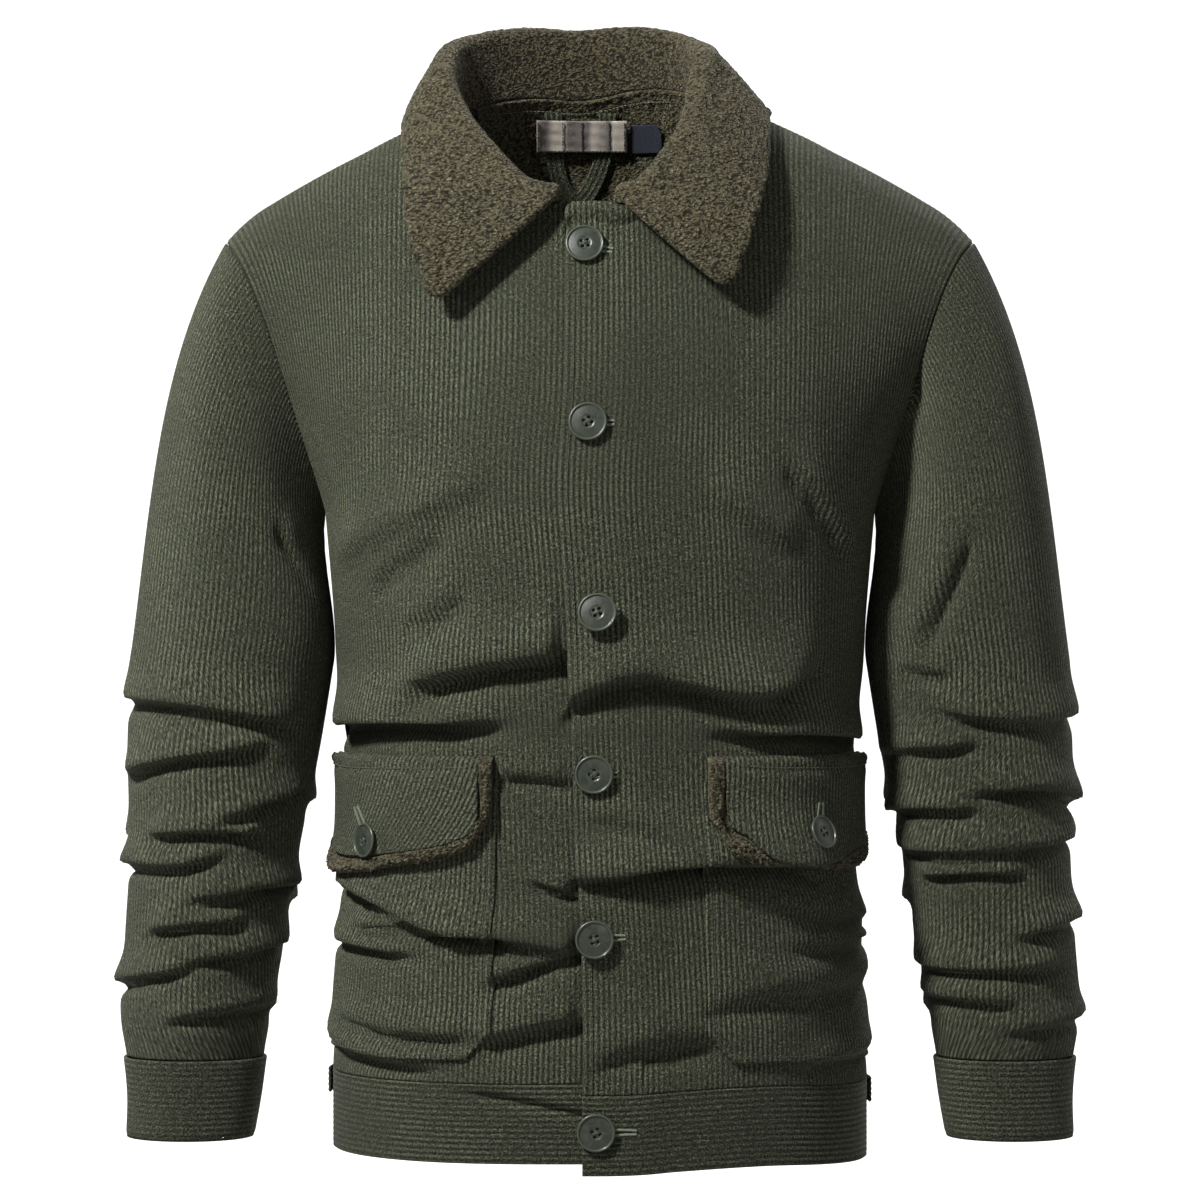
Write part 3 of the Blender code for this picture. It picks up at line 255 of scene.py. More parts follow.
BACK_FOLDS = Table(
    FOLD_COLUMNS,
    (-150, -300, -60, -345, 5, 0, 6, 3, 16, 0),
    (155, -295, 70, -350, 4, 0, 6, 3, 16, 0),
    (-130, -392, 60, -372, 6, 6, 9, 5, 16, 3),
    (20, -420, 150, -398, 4, 0, 8, 5, 14, 3),
    (-150, -455, 40, -470, -5, 6, 9, 5, 15, 3),
    (60, -482, 170, -466, 4, 0, 6, 4, 12, 2),
    (-110, -520, 90, -514, 6, 0, 6, 4, 14, 2),
    (-170, -560, -40, -552, 3, 0, 4, 3, 12, 0),
    (40, -566, 160, -556, 3, 0, 4, 3, 12, 0),
)
SLEEVE_LEFT_FOLDS = Table(
    FOLD_COLUMNS,
    (-206, -246, -180, -292, 0, 0, 3, 3, 10, 0),
    (-322, -362, -190, -382, 8, 0, 5, 5, 12, 3),
    (-304, -412, -210, -390, 4, 0, 7, 4, 11, 3),
    (-246, -434, -190, -416, 0, 0, 5, 4, 9, 2),
    (-290, -448, -214, -446, 4, 0, 6, 4, 9, 2),
    (-325, -472, -236, -458, 0, 3, 6, 4, 9, 2),
    (-268, -488, -186, -480, 4, 0, 6, 5, 9, 2),
    (-290, -509, -225, -501, 3, 0, 5, 4, 9, 2),
    (-264, -526, -200, -514, 0, 0, 5, 4, 9, 2),
    (-325, -546, -255, -530, 0, 0, 5, 4, 9, 2),
    (-280, -566, -205, -556, 3, 0, 4, 3, 8, 0),
)
SLEEVE_RIGHT_FOLDS = Table(
    FOLD_COLUMNS,
    (252, -100, 213, -178, 0, 0, 3, 3, 12, 0),
    (248, -250, 208, -326, 0, 0, 4, 4, 12, 0),
    (190, -340, 226, -343, 0, 0, 3, 3, 8, 0),
    (208, -366, 320, -366, -8, 0, 5.5, 5, 12, 3),
    (182, -397, 244, -388, 0, 0, 6, 4, 10, 2),
    (232, -420, 322, -432, 9, 0, 7, 5, 10, 3),
    (184, -434, 246, -430, 3, 0, 6, 4, 9, 2),
    (190, -456, 312, -447, -3, 0, 6, 4, 9, 2),
    (206, -474, 272, -470, 3, 0, 5, 4, 8, 2),
    (262, -512, 318, -500, 3, 0, 6, 4, 9, 2),
    (200, -528, 300, -528, -3, 0, 6, 4, 9, 2),
    (208, -550, 270, -554, 0, 0, 5, 3, 9, 0),
    (255, -572, 325, -562, 0, 0, 4, 3, 8, 0),
)
SLEEVE_REAR_FOLDS = Table(
    FOLD_COLUMNS,
    (190, -300, 270, -262, 0, 0, 4, 3, 14, 0),
    (186, -352, 290, -330, 4, 0, 6, 4, 13, 2),
    (200, -392, 296, -378, 4, 0, 7, 4, 12, 2),
    (190, -430, 270, -420, 3, 0, 6, 4, 10, 2),
    (230, -462, 312, -448, 0, 0, 6, 4, 10, 2),
    (200, -494, 280, -486, 3, 0, 6, 4, 10, 2),
    (226, -530, 306, -520, 0, 0, 5, 4, 9, 2),
    (212, -562, 280, -556, 0, 0, 4, 3, 8, 0),
)


def fold_relief(
    folds: Table, to_length: Callable[[float, float], float], at: Array, z: Array, period: float
) -> tuple[Array, Array]:
    """How folds move the cloth at lengths round it and heights.

    Args:
        folds: a row for each fold, from its first end to its second.
        to_length: gives the length round the cloth for the x and z of a fold's end.
        at: the lengths round the cloth.
        z: the heights.
        period: the whole length round the cloth.

    Returns:
        How far the cloth is pushed out, and how far it is let down.
    """
    out = np.zeros(np.broadcast(at, z).shape)
    down = np.zeros_like(out)
    for row in folds.rows():
        start = to_length(row["x0"], row["z0"])
        run = to_length(row["x1"], row["z1"]) - start
        rise = row["z1"] - row["z0"]
        if run < 0:
            start, run, rise, row["z0"] = start + run, -run, -rise, row["z1"]
        length = math.hypot(run, rise)
        dx = (at - start - run / 2 + period / 2) % period - period / 2 + run / 2
        dz = z - row["z0"]
        t = (dx * run + dz * rise) / length**2
        middle = row["bow"] * 4 * t * (1 - t) + row["sway"] * np.sin(2 * math.pi * t)
        above = (dz * run - dx * rise) / length - np.where((t > 0) & (t < 1), middle, 0)
        fade = ease(t, -0.06, 0.24) * ease(t, 1.06, 0.76)
        width = row["width"]
        crest = bell(above, width, np.where(above < width, 0.46 * width, 1.1 * width))
        trough = bell(above, 0.0, 0.5 * width) + 0.8 * bell(above, 0.12 * width, 0.22 * width)
        out += fade * (1.1 * row["ridge"] * crest - row["valley"] * trough)
        down += fade * (1.7 * row["lean"] + 0.12 * row["ridge"]) * crest
    return out, down


@dataclass(frozen=True)
class BodyForm:
    """The body of the jacket as a smooth form, before laps and folds. Pairs are front and back."""

    hem_z: float = -595.0
    armpit_z: float = -235.0
    quarters: tuple[float, float] = (250.0, 244.0)
    roundness: float = 2.3
    neck_x: float = -12.0
    neck_half: float = 83.0
    neck_around: float = 87.0
    neck_side_y: float = -12.0
    neck_arch: tuple[float, float] = (12.0, 36.0)
    neck_depth: tuple[float, float] = (76.0, 74.0)
    neck_front_z: float = -45.0
    shoulder_tip: float = 243.0
    armhole_dip: tuple[float, float] = (15.0, 12.0)

    @property
    def half_round(self) -> float:
        """Length of cloth from the centre front to the centre back."""
        return sum(self.quarters)

    def quarter(self, half_width: float, depth: float) -> tuple[Array, Array, Array]:
        """Length, x and depth along a quarter of the level ring, from its centre to the side seam."""
        turn = np.linspace(0.0, math.pi / 2, 721)
        x = half_width * np.sin(turn) ** (2 / self.roundness)
        y = depth * np.cos(turn) ** (2 / self.roundness)
        length = np.concatenate([[0.0], np.cumsum(np.hypot(np.diff(x), np.diff(y)))])
        return length, x, y

    def ring(self, around: Array, z: float) -> Array:
        """Points of the level ring at height z."""
        half_width = BODY.read("half_width", z)
        size = np.abs(around)
        points = np.empty((len(size), 3))
        for behind, depth in enumerate(("front", "back")):
            length, x, y = self.quarter(half_width, BODY.read(depth, z))
            share = (self.half_round - size if behind else size) / self.quarters[behind]
            chosen = (size > self.quarters[0]) == bool(behind)
            at = share[chosen] * length[-1]
            points[chosen, 0] = np.sign(around[chosen]) * np.interp(at, length, x)
            points[chosen, 1] = (1 if behind else -1) * np.interp(at, length, y)
        points[:, 2] = z
        return points

    def top_edge(self, out: Array, side: int, behind: bool) -> Array:
        """Points of the shoulder seam, and of the line that it would follow over the neck."""
        share = np.maximum(np.abs(out) - self.neck_around, 0) / (self.quarters[behind] - self.neck_around)
        neck_side = self.neck_half + side * self.neck_x
        inner = np.abs(out) <= self.neck_around
        x = np.where(inner, neck_side, neck_side + share * (self.shoulder_tip - neck_side))
        sides = [SHOULDER.read("z", self.neck_half + sign * self.neck_x) for sign in (-1, 1)]
        over = sides[0] + (sides[1] - sides[0]) * ease(side * out, -self.neck_around, self.neck_around)
        near_centre = 1 - np.minimum(np.abs(out) / self.neck_around, 1) ** 3
        over = over + self.neck_arch[behind] * near_centre
        points = np.empty((len(out), 3))
        across = self.neck_x + side * self.neck_half * out / self.neck_around
        points[:, 0] = np.where(inner, across, side * x)
        points[:, 1] = self.neck_side_y * (1 - ease(share, 0, 1))
        points[:, 2] = np.where(inner, over, SHOULDER.read("z", x))
        return points

    def column(self, out: Array, t: Array, side: int, behind: bool) -> Array:
        """Points above the armpit on columns that bend from the level ring up and over to the shoulder."""
        away = 1 if behind else -1
        start = self.ring(side * (self.half_round - out if behind else out), self.armpit_z)
        end = self.top_edge(out, side, behind)
        outer = ease(np.abs(out), 150, 250)
        wide, middle = 1 - ease(np.abs(out), 20, 190), 1 - ease(np.abs(out), 20, 150)
        climb = np.stack([side * 20 * outer, away * 20 * outer, 78 + 0 * outer], axis=-1)
        over_y, over_z = (61, 53) if behind else (12, -4)
        fall = np.stack([side * 6 * outer, away * (61 + over_y * wide), -28 + over_z * middle], axis=-1)
        t = np.asarray(t)[:, None]
        ways = (1 - t) ** 3, 3 * t * (1 - t) ** 2, 3 * t * t * (1 - t), t**3
        return ways[0] * start + ways[1] * (start + climb) + ways[2] * (end + fall) + ways[3] * end

    def neck_stop(self, out: Array, side: int, behind: bool) -> Array:
        """The share of each column that is left where the neck opening, round in plan, ends it."""
        inner = np.abs(out) < self.neck_around
        found = np.ones(len(out))
        if not inner.any():
            return found
        near = out[inner]
        target = self.neck_depth[behind] * np.sqrt(1 - (near / self.neck_around) ** 2)
        low, high = np.full(len(near), 0.3), np.ones(len(near))
        for _ in range(16):
            mid = (low + high) / 2
            deeper = np.abs(self.column(near, mid, side, behind)[:, 1] - self.neck_side_y) > target
            low, high = np.where(deeper, mid, low), np.where(deeper, high, mid)
        found[inner] = high
        return found

    def base(self, out: Array, level: float, side: int, behind: bool) -> tuple[Array, Array]:
        """Points of the smooth body along a row, and their outward directions."""
        nudge, step = 0.5, 0.5 / 300
        if level > 1:
            share = (level - 1) * self.neck_stop(out, side, behind)

            def at(o: Array, s: Array) -> Array:
                return self.column(o, s, side, behind)
        else:
            share = np.full(len(out), level)

            def at(o: Array, s: Array) -> Array:
                z = self.hem_z + s[0] * (self.armpit_z - self.hem_z)
                return self.ring(side * (self.half_round - o if behind else o), z)

        points = at(out, share)
        across = at(out + nudge, share) - at(out - nudge, share)
        normals = np.cross(across, points - at(out, share - step)) * side * (-1 if behind else 1)
        return points, unit(normals)

    def armhole_out(self, rise: float, behind: bool) -> float:
        """Length of cloth from the centre to the armhole, rise 0 at the armpit and 1 at the shoulder."""
        return self.quarters[behind] - self.armhole_dip[behind] * math.sin(math.pi * max(rise, 0.0))

    def level_of(self, z: float) -> float:
        """The level of a height below the armpit."""
        return (z - self.hem_z) / (self.armpit_z - self.hem_z)

    def front_length(self, x: float, z: float) -> float:
        """Length round the body from the centre front to a place seen from the front at x."""
        length, xs, _ = self.quarter(BODY.read("half_width", z), BODY.read("front", z))
        inside = np.interp(abs(x), xs, length) * self.quarters[0] / length[-1]
        return math.copysign(inside + max(0.0, abs(x) - xs[-1]), x)


FORM = BodyForm()
SEAM = 0.15
REST = 0.35
WALL = 2.5
PITCH = 3.5
SEED = 1


@dataclass(frozen=True)
class Panel:
    """A body panel's surface: smooth form, folds and lap."""

    side: int
    lap: float = 38.0
    lap_fade: float = 24.0
    hem_drop: tuple[float, float] = (-1.0, 6.0)
    side_drop: float = 6.5
    neck_rise: float = 11.5

    def relief(self, around: Array, z: Array) -> tuple[Array, Array]:
        """The folds. A front's own folds fade where it runs under the other front."""
        whole = 2 * FORM.half_round
        right = fold_relief(RIGHT_FOLDS, FORM.front_length, around, z, whole)
        left = fold_relief(LEFT_FOLDS, FORM.front_length, around, z, whole)
        from_back = np.where(around < 0, -FORM.half_round - around, FORM.half_round - around)
        back = fold_relief(BACK_FOLDS, lambda x, z: x, from_back, z, 2 * whole)
        size = np.abs(around)
        at_side = ease(size, 200, 238) * ease(size, 300, 265)
        held = 0.45 + 0.4 * ease(z, -345, -290) + 0.40 * bell(z, -380, 18)
        calm = (1 - held * at_side) * ease(z, -45, -110)
        fuller = 4.5 * at_side * bell(z, -389, 9)
        behind = ease(size, FORM.quarters[0] - 30, FORM.quarters[0] + 30)
        on_right = ease(around, -20, 40)
        edge = FRONT_EDGE.read("x", z)
        totals = []
        for i in range(2):
            if self.side > 0:
                value = right[i]
            elif self.side < 0:
                under = ease(around - edge, -12, -1)
                value = left[i] + under * (np.minimum(left[i], right[i]) - left[i])
            else:
                value = left[i] * (1 - on_right) + right[i] * on_right
            totals.append((value + behind * back[i]) * calm)
        return totals[0] + fuller, totals[1]

    def row(self, out: Array, level: float, below: float = 0.0) -> tuple[Array, Array]:
        """Points and outward directions of one row.

        Args:
            out: places along the row.
            level: the row's level.
            below: the drop under the hem seam.

        Returns:
            The points, and the directions.
        """
        out = np.asarray(out, float)
        if self.side == 0:
            base, normal = np.empty((len(out), 3)), np.empty((len(out), 3))
            for sign in (-1, 1):
                chosen = (out < 0) == (sign < 0)
                if chosen.any():
                    base[chosen], normal[chosen] = FORM.base(np.abs(out[chosen]), level, sign, True)
            around = np.where(out < 0, -FORM.half_round - out, FORM.half_round - out)
        else:
            base, normal = FORM.base(out, level, self.side, False)
            around = self.side * out
        z = base[:, 2] - below
        relief, down = self.relief(around, z)
        if self.side > 0:
            end = FRONT_EDGE.read("x", z) + self.lap
            relief = relief + (WALL + REST) * (1 - ease(out - end, 1, self.lap_fade))
        points = base + normal * relief[:, None]
        points[:, 2] -= down + below
        low = ease(z, -430, -590)
        if self.side >= 0:
            points[:, 2] -= self.side_drop * ease(out, 40, 230) * low
        if self.side:
            points[:, 2] -= self.hem_drop[self.side > 0] * (1 - ease(out, 0, 130)) * low
            from_middle = np.abs(base[:, 0] - FORM.neck_x)
            points[:, 2] += self.neck_rise * ease(level, 1.88, 2) * (1 - ease(from_middle, 6, 40))
        if self.side > 0:
            corner = 1 - np.clip((out - self.edge(level)) / 9.0, 0, 1)
            points[:, 2] -= 7.0 * corner**2.5 * ease(level, 1.93, 2)
        return points, normal

    def edge(self, level: float) -> float:
        """Length of cloth from the centre line to a front's own edge, negative past the centre."""
        z = np.interp(level, (0.0, 1.0, 2.0), (FORM.hem_z, FORM.armpit_z, FORM.neck_front_z))
        edge = float(FRONT_EDGE.read("x", z))
        return edge if self.side > 0 else -(edge + self.lap)

    def across(self, level: float, ribs: Array, squeeze: float = 110.0) -> Array:
        """Places along a row for columns that follow the ribs and are squeezed towards the seam."""
        last = FORM.armhole_out(level - 1, not self.side) - SEAM
        if self.side:
            first, whole = self.edge(level), ribs[-1]
            return first + ribs - (first + whole - last) * ease(ribs, whole - squeeze, whole)
        whole = ribs[-1]
        return ribs - np.sign(ribs) * (whole - last) * ease(np.abs(ribs), whole - squeeze, whole)


@dataclass
class Skin:
    """The outer face of a piece of cloth: a grid of points with inward directions and rib coordinates."""

    points: Array
    inward: Array
    rib: Array
    run: Array
    tube: bool = False

    def raised(self, height: Array) -> Array:
        """The points moved out by a height each."""
        return self.points - self.inward * height[..., None]

    def from_edge(self) -> Array:
        """Length of cloth from each point to the nearest open edge."""

        def along(axis: int) -> Array:
            length = lengths(self.points, axis)
            return np.minimum(length, np.take(length, [-1], axis=axis) - length)

        return along(0) if self.tube else np.minimum(along(0), along(1))

    def tree(self, lift: float = 0.0) -> BVHTree:
        """The face, moved out by a lift, to lay other pieces on. Its sides face out."""
        points = (self.points - self.inward * lift) * MM
        rows, columns = points.shape[:2]
        i, j = np.mgrid[0 : rows - 1, 0 : columns - 1]
        corner = i * columns + j
        faces = np.stack([corner, corner + 1, corner + columns + 1, corner + columns], -1).reshape(-1, 4)
        if not self.faces_out():
            faces = faces[:, ::-1]
        return BVHTree.FromPolygons(points.reshape(-1, 3).tolist(), faces.tolist())

    def faces_out(self) -> bool:
        """Whether column steps crossed with row steps point out."""
        i, j = self.points.shape[0] // 2, self.points.shape[1] // 2
        across = self.points[i, j + 1] - self.points[i, j - 1]
        upward = self.points[i + 1, j] - self.points[i - 1, j]
        return float(np.dot(np.cross(across, upward), self.inward[i, j])) < 0

    def laid_clear(self, depth: float, tree: BVHTree, gap: float, rows: slice, columns: slice) -> Skin:
        """The same face with a part of it moved out until what is under it is clear.

        Args:
            depth: thickness of the piece.
            tree: the faces that it lies on.
            gap: the room to leave.
            rows: the rows that may move.
            columns: the columns that may move.

        Returns:
            The moved face.
        """
        points = self.points.copy()
        push = np.zeros(points.shape[:2])
        reach = 30.0
        inside = points + depth * self.inward
        for i in range(points.shape[0])[rows]:
            for j in range(points.shape[1])[columns]:
                way = Vector(self.inward[i, j])
                start = Vector(inside[i, j] * MM) - way * reach * MM
                hit = tree.ray_cast(start, way, 2 * reach * MM)
                if hit[0] is not None:
                    push[i, j] = max(0.0, gap + reach - hit[3] / MM)
        soft = push.copy()
        for _ in range(2):
            soft = softened(soft, 1)
        points -= self.inward * np.maximum(push, soft)[..., None]
        return Skin(points, self.inward, self.rib, self.run, self.tube)


def grid_normals(grid: Array, tube: bool = False) -> Array:
    """Directions across a grid of points, from its own rows and columns."""
    if tube:
        across = np.roll(grid, -1, axis=1) - np.roll(grid, 1, axis=1)
    else:
        across = np.gradient(grid, axis=1)
    return unit(np.cross(across, np.gradient(grid, axis=0)))


def softened(values: Array, reach: int) -> Array:
    """Each value of a grid as the mean of those up to a reach from it."""
    size = 2 * reach + 1
    rows, columns = values.shape
    wide = np.pad(values, reach, mode="edge")
    return sum(wide[a : a + rows, b : b + columns] for a in range(size) for b in range(size)) / size**2


def picks(count: int, step: int) -> list[int]:
    """Every step-th index with the last one."""
    return sorted({*range(0, count, step), count - 1})


def closed(
    name: str, skin: Skin, top: Array, under: Array, steps: tuple[int, int], nap: Array | None = None
) -> bpy.types.Object:
    """A closed piece of cloth with a fine outer face and a coarser inner one, sewn together at the edges.

    Args:
        name: the piece's name.
        skin: gives the rib coordinates and the way out.
        top: points of the outer face.
        under: points of the inner face, of which every few are used.
        steps: how many rows and columns the inner face passes over at a time.
        nap: heights from 0 to 1 of the outer face's pile; where they are low the pile's finish paints
            shade.

    Returns:
        The piece.
    """
    rows, columns = top.shape[:2]
    wide = columns + skin.tube
    row_picks, column_picks = np.array(picks(rows, steps[0])), np.array(picks(wide, steps[1]))
    inner_columns = len(column_picks) - skin.tube
    start = rows * columns

    def outer(i: Array, j: Array) -> tuple[Array, Array]:
        return i * columns + j % columns, i * wide + j

    def inner(a: Array, b: Array) -> tuple[Array, Array]:
        return start + a * inner_columns + b % inner_columns, row_picks[a] * wide + column_picks[b]

    def quads(count_i: int, count_j: int, place: Callable, order: tuple) -> tuple[list, list]:
        i, j = np.mgrid[0:count_i, 0:count_j]
        both = [place(i + di, j + dj) for di, dj in order]
        return tuple(np.stack([one[k] for one in both], -1).reshape(-1, 4).tolist() for k in range(2))

    faces, marks = quads(rows - 1, wide - 1, outer, ((0, 0), (0, 1), (1, 1), (1, 0)))
    more = quads(len(row_picks) - 1, len(column_picks) - 1, inner, ((0, 0), (1, 0), (1, 1), (0, 1)))
    faces, marks = faces + more[0], marks + more[1]

    def sew(fine: list[tuple[int, int]], coarse: list[tuple[int, int]]) -> None:
        corners = [outer(np.int64(i), np.int64(j)) for i, j in fine] + [inner(a, b) for a, b in coarse]
        faces.append([int(corner[0]) for corner in corners])
        marks.append([int(corner[1]) for corner in corners])

    last_row, last_pick = rows - 1, len(row_picks) - 1
    for b in range(len(column_picks) - 1):
        c0, c1 = column_picks[b], column_picks[b + 1]
        sew([(0, j) for j in range(c1, c0 - 1, -1)], [(0, b), (0, b + 1)])
        sew([(last_row, j) for j in range(c0, c1 + 1)], [(last_pick, b + 1), (last_pick, b)])
    if not skin.tube:
        last_column, last_b = columns - 1, len(column_picks) - 1
        for a in range(len(row_picks) - 1):
            r0, r1 = row_picks[a], row_picks[a + 1]
            sew([(i, 0) for i in range(r0, r1 + 1)], [(a + 1, 0), (a, 0)])
            sew([(i, last_column) for i in range(r1, r0 - 1, -1)], [(a, last_b), (a + 1, last_b)])
    if not skin.faces_out():
        faces, marks = [face[::-1] for face in faces], [mark[::-1] for mark in marks]
    lining = under[np.ix_(row_picks, column_picks[:inner_columns])]
    vertices = np.concatenate([top.reshape(-1, 3), lining.reshape(-1, 3)]) * MM
    mesh = bpy.data.meshes.new(name)
    mesh.from_pydata(vertices.tolist(), [], faces)
    mesh.shade_smooth()
    table = np.stack([skin.rib.ravel(), skin.run.ravel()], -1)
    order = np.concatenate([np.array(mark) for mark in marks])
    mesh.uv_layers.new(name="cloth").data.foreach_set("uv", table[order].astype(np.float32).ravel())
    if nap is not None:
        heights = np.full(len(vertices), 0.5, np.float32)
        heights[:start] = nap.ravel()
        mesh.attributes.new("nap", "FLOAT", "POINT").data.foreach_set("value", heights)
    return place(name, mesh)


def place(name: str, mesh: bpy.types.Mesh) -> bpy.types.Object:
    """The mesh as an object of the scene."""
    made = bpy.data.objects.new(name, mesh)
    bpy.context.scene.collection.objects.link(made)
    return made


class Shader:
    """A Principled material whose inputs are worked out by nodes."""

    def __init__(self, name: str, roughness: float, **fixed: float) -> None:
        """Takes the material's name, its roughness and other fixed inputs, named with underscores."""
        self.material = bpy.data.materials.new(name)
        self.material.use_nodes = True
        self.nodes = self.material.node_tree.nodes
        self.principled = self.nodes["Principled BSDF"]
        self.principled.inputs["Roughness"].default_value = roughness
        for socket, value in fixed.items():
            self.principled.inputs[socket.replace("_", " ")].default_value = value

    def feed(self, socket: bpy.types.NodeSocket, value: object) -> None:
        """Links a socket to another, or sets its value."""
        if isinstance(value, bpy.types.NodeSocket):
            self.material.node_tree.links.new(value, socket)
        elif isinstance(value, tuple) and len(value) == 3 and socket.type == "RGBA":
            socket.default_value = (*value, 1.0)
        else:
            socket.default_value = value

    def node(self, kind: str, inputs: dict, **settings: object) -> bpy.types.Node:
        """A new node with its inputs fed."""
        made = self.nodes.new(f"ShaderNode{kind}")
        for key, value in settings.items():
            setattr(made, key, value)
        for key, value in inputs.items():
            self.feed(made.inputs[key], value)
        return made

    def math(self, operation: str, a: object, b: object = 0.0) -> bpy.types.NodeSocket:
        """The result of one sum."""
        return self.node("Math", {0: a, 1: b}, operation=operation).outputs[0]

    def spread(self, value: object, low: float, high: float) -> bpy.types.NodeSocket:
        """A value from 0 to 1 turned to one from low to high."""
        return self.node("MapRange", {"Value": value, "To Min": low, "To Max": high}).outputs[0]

    def clipped(self, value: object, low: float, high: float) -> bpy.types.NodeSocket:
        """A value from low to high stretched to one from 0 to 1."""
        return self.node("MapRange", {"Value": value, "From Min": low, "From Max": high}).outputs[0]

    def noise(
        self, vector: object, scale: float, detail: float = 2.0, warp: float = 0.0
    ) -> bpy.types.NodeSocket:
        """Soft noise from 0 to 1."""
        inputs = {"Vector": vector, "Scale": scale, "Detail": detail, "Distortion": warp}
        return self.node("TexNoise", inputs).outputs[0]

    def combine(self, x: object, y: object, z: object = 0.0) -> bpy.types.NodeSocket:
        """A vector of three values."""
        return self.node("CombineXYZ", {0: x, 1: y, 2: z}).outputs[0]

    def ramp(self, value: object, *stops: tuple[float, Colour]) -> bpy.types.NodeSocket:
        """Colours along a value."""
        made = self.node("ValToRGB", {0: value})
        ramp = made.color_ramp
        ramp.interpolation = "EASE"
        while len(ramp.elements) < len(stops):
            ramp.elements.new(1.0)
        for element, (at, colour) in zip(ramp.elements, stops):
            element.position = at
            element.color = (*colour, 1.0)
        return made.outputs[0]

    def times(self, colour: object, value: object) -> bpy.types.NodeSocket:
        """A colour made darker or lighter by a value."""
        return self.vectors("MULTIPLY", colour, self.combine(value, value, value))

    def vectors(self, operation: str, a: object, b: object) -> bpy.types.NodeSocket:
        """The result of one sum of vectors or colours."""
        return self.node("VectorMath", {0: a, 1: b}, operation=operation).outputs[0]

    def place_3d(self) -> bpy.types.NodeSocket:
        """The place on the object in metres."""
        return self.node("TexCoord", {}).outputs["Object"]

    def cloth(self) -> tuple[bpy.types.NodeSocket, bpy.types.NodeSocket]:
        """The place in the cloth: across the ribs and along them, counted in ribs."""
        uv = self.node("UVMap", {}, uv_map="cloth").outputs[0]
        split = self.node("SeparateXYZ", {0: uv})
        return split.outputs[0], split.outputs[1]

    def colour(self, value: object) -> None:
        """Sets the base colour."""
        self.feed(self.principled.inputs["Base Color"], value)

    def bump(self, height: object, distance: float, strength: float = 1.0) -> None:
        """Roughens the surface by a height from 0 to 1."""
        made = self.node("Bump", {"Height": height, "Distance": distance, "Strength": strength})
        self.feed(self.principled.inputs["Normal"], made.outputs[0])


@dataclass(frozen=True)
class Corduroy:
    """Wide-wale cotton corduroy: cut pile ribs, with painted shade in the dark grooves between them and rib
    tips paler than the cloth, partly painted light.
    """

    groove: Colour = (0.004, 0.005, 0.003)
    rib: Colour = (0.036, 0.0395, 0.0235)
    tip: Colour = (0.146, 0.158, 0.098)
    tint: float = 1.0

    def material(self, name: str) -> bpy.types.Material:
        """The finish, with its ribs along the cloth's own coordinates."""
        shade = Shader(name, 0.9, Sheen_Weight=0.12, Sheen_Roughness=0.4)
        shade.feed(shade.principled.inputs["Sheen Tint"], (0.62, 0.66, 0.50))
        shade.feed(shade.principled.inputs["Specular IOR Level"], 0.22)
        across, along = shade.cloth()
        wave = shade.math("COSINE", shade.math("MULTIPLY", across, 2 * math.pi))
        ridge = shade.math("MULTIPLY_ADD", wave, -0.5)
        shade.feed(ridge.node.inputs[2], 0.5)
        grain = shade.noise(shade.combine(across, shade.math("MULTIPLY", along, 0.8)), 3.3, 3.0, 0.3)
        tufts = shade.clipped(grain, 0.36, 0.64)
        dashes = shade.noise(shade.combine(across, shade.math("MULTIPLY", along, 0.5)), 1.7, 2.0)
        patches = shade.noise(shade.place_3d(), 15.0, 3.0, 0.6)
        clear = shade.spread(shade.clipped(patches, 0.40, 0.60), 0.40, 1.0)
        crest = shade.math("SUBTRACT", shade.math("POWER", ridge, 0.75), 0.55)
        crest = shade.math("MULTIPLY", crest, clear)
        level = shade.math("ADD", shade.math("MULTIPLY", crest, 0.58), 0.44)
        for part, share in ((tufts, 0.62), (dashes, 0.7)):
            varied = shade.math("MULTIPLY", shade.math("SUBTRACT", part, 0.5), share)
            level = shade.math("ADD", level, varied)
        # Painted shade and light: the ramp runs from near black in the grooves to a pale colour on the rib
        # crests.
        base = shade.ramp(level, (0.0, self.groove), (0.42, self.rib), (1.0, self.tip))
        worn = shade.math("MULTIPLY", shade.spread(patches, 0.80, 1.20), self.tint)
        shade.colour(shade.times(base, worn))
        shade.bump(shade.math("ADD", shade.math("MULTIPLY", ridge, 0.3), tufts), 0.0009)
        return shade.material


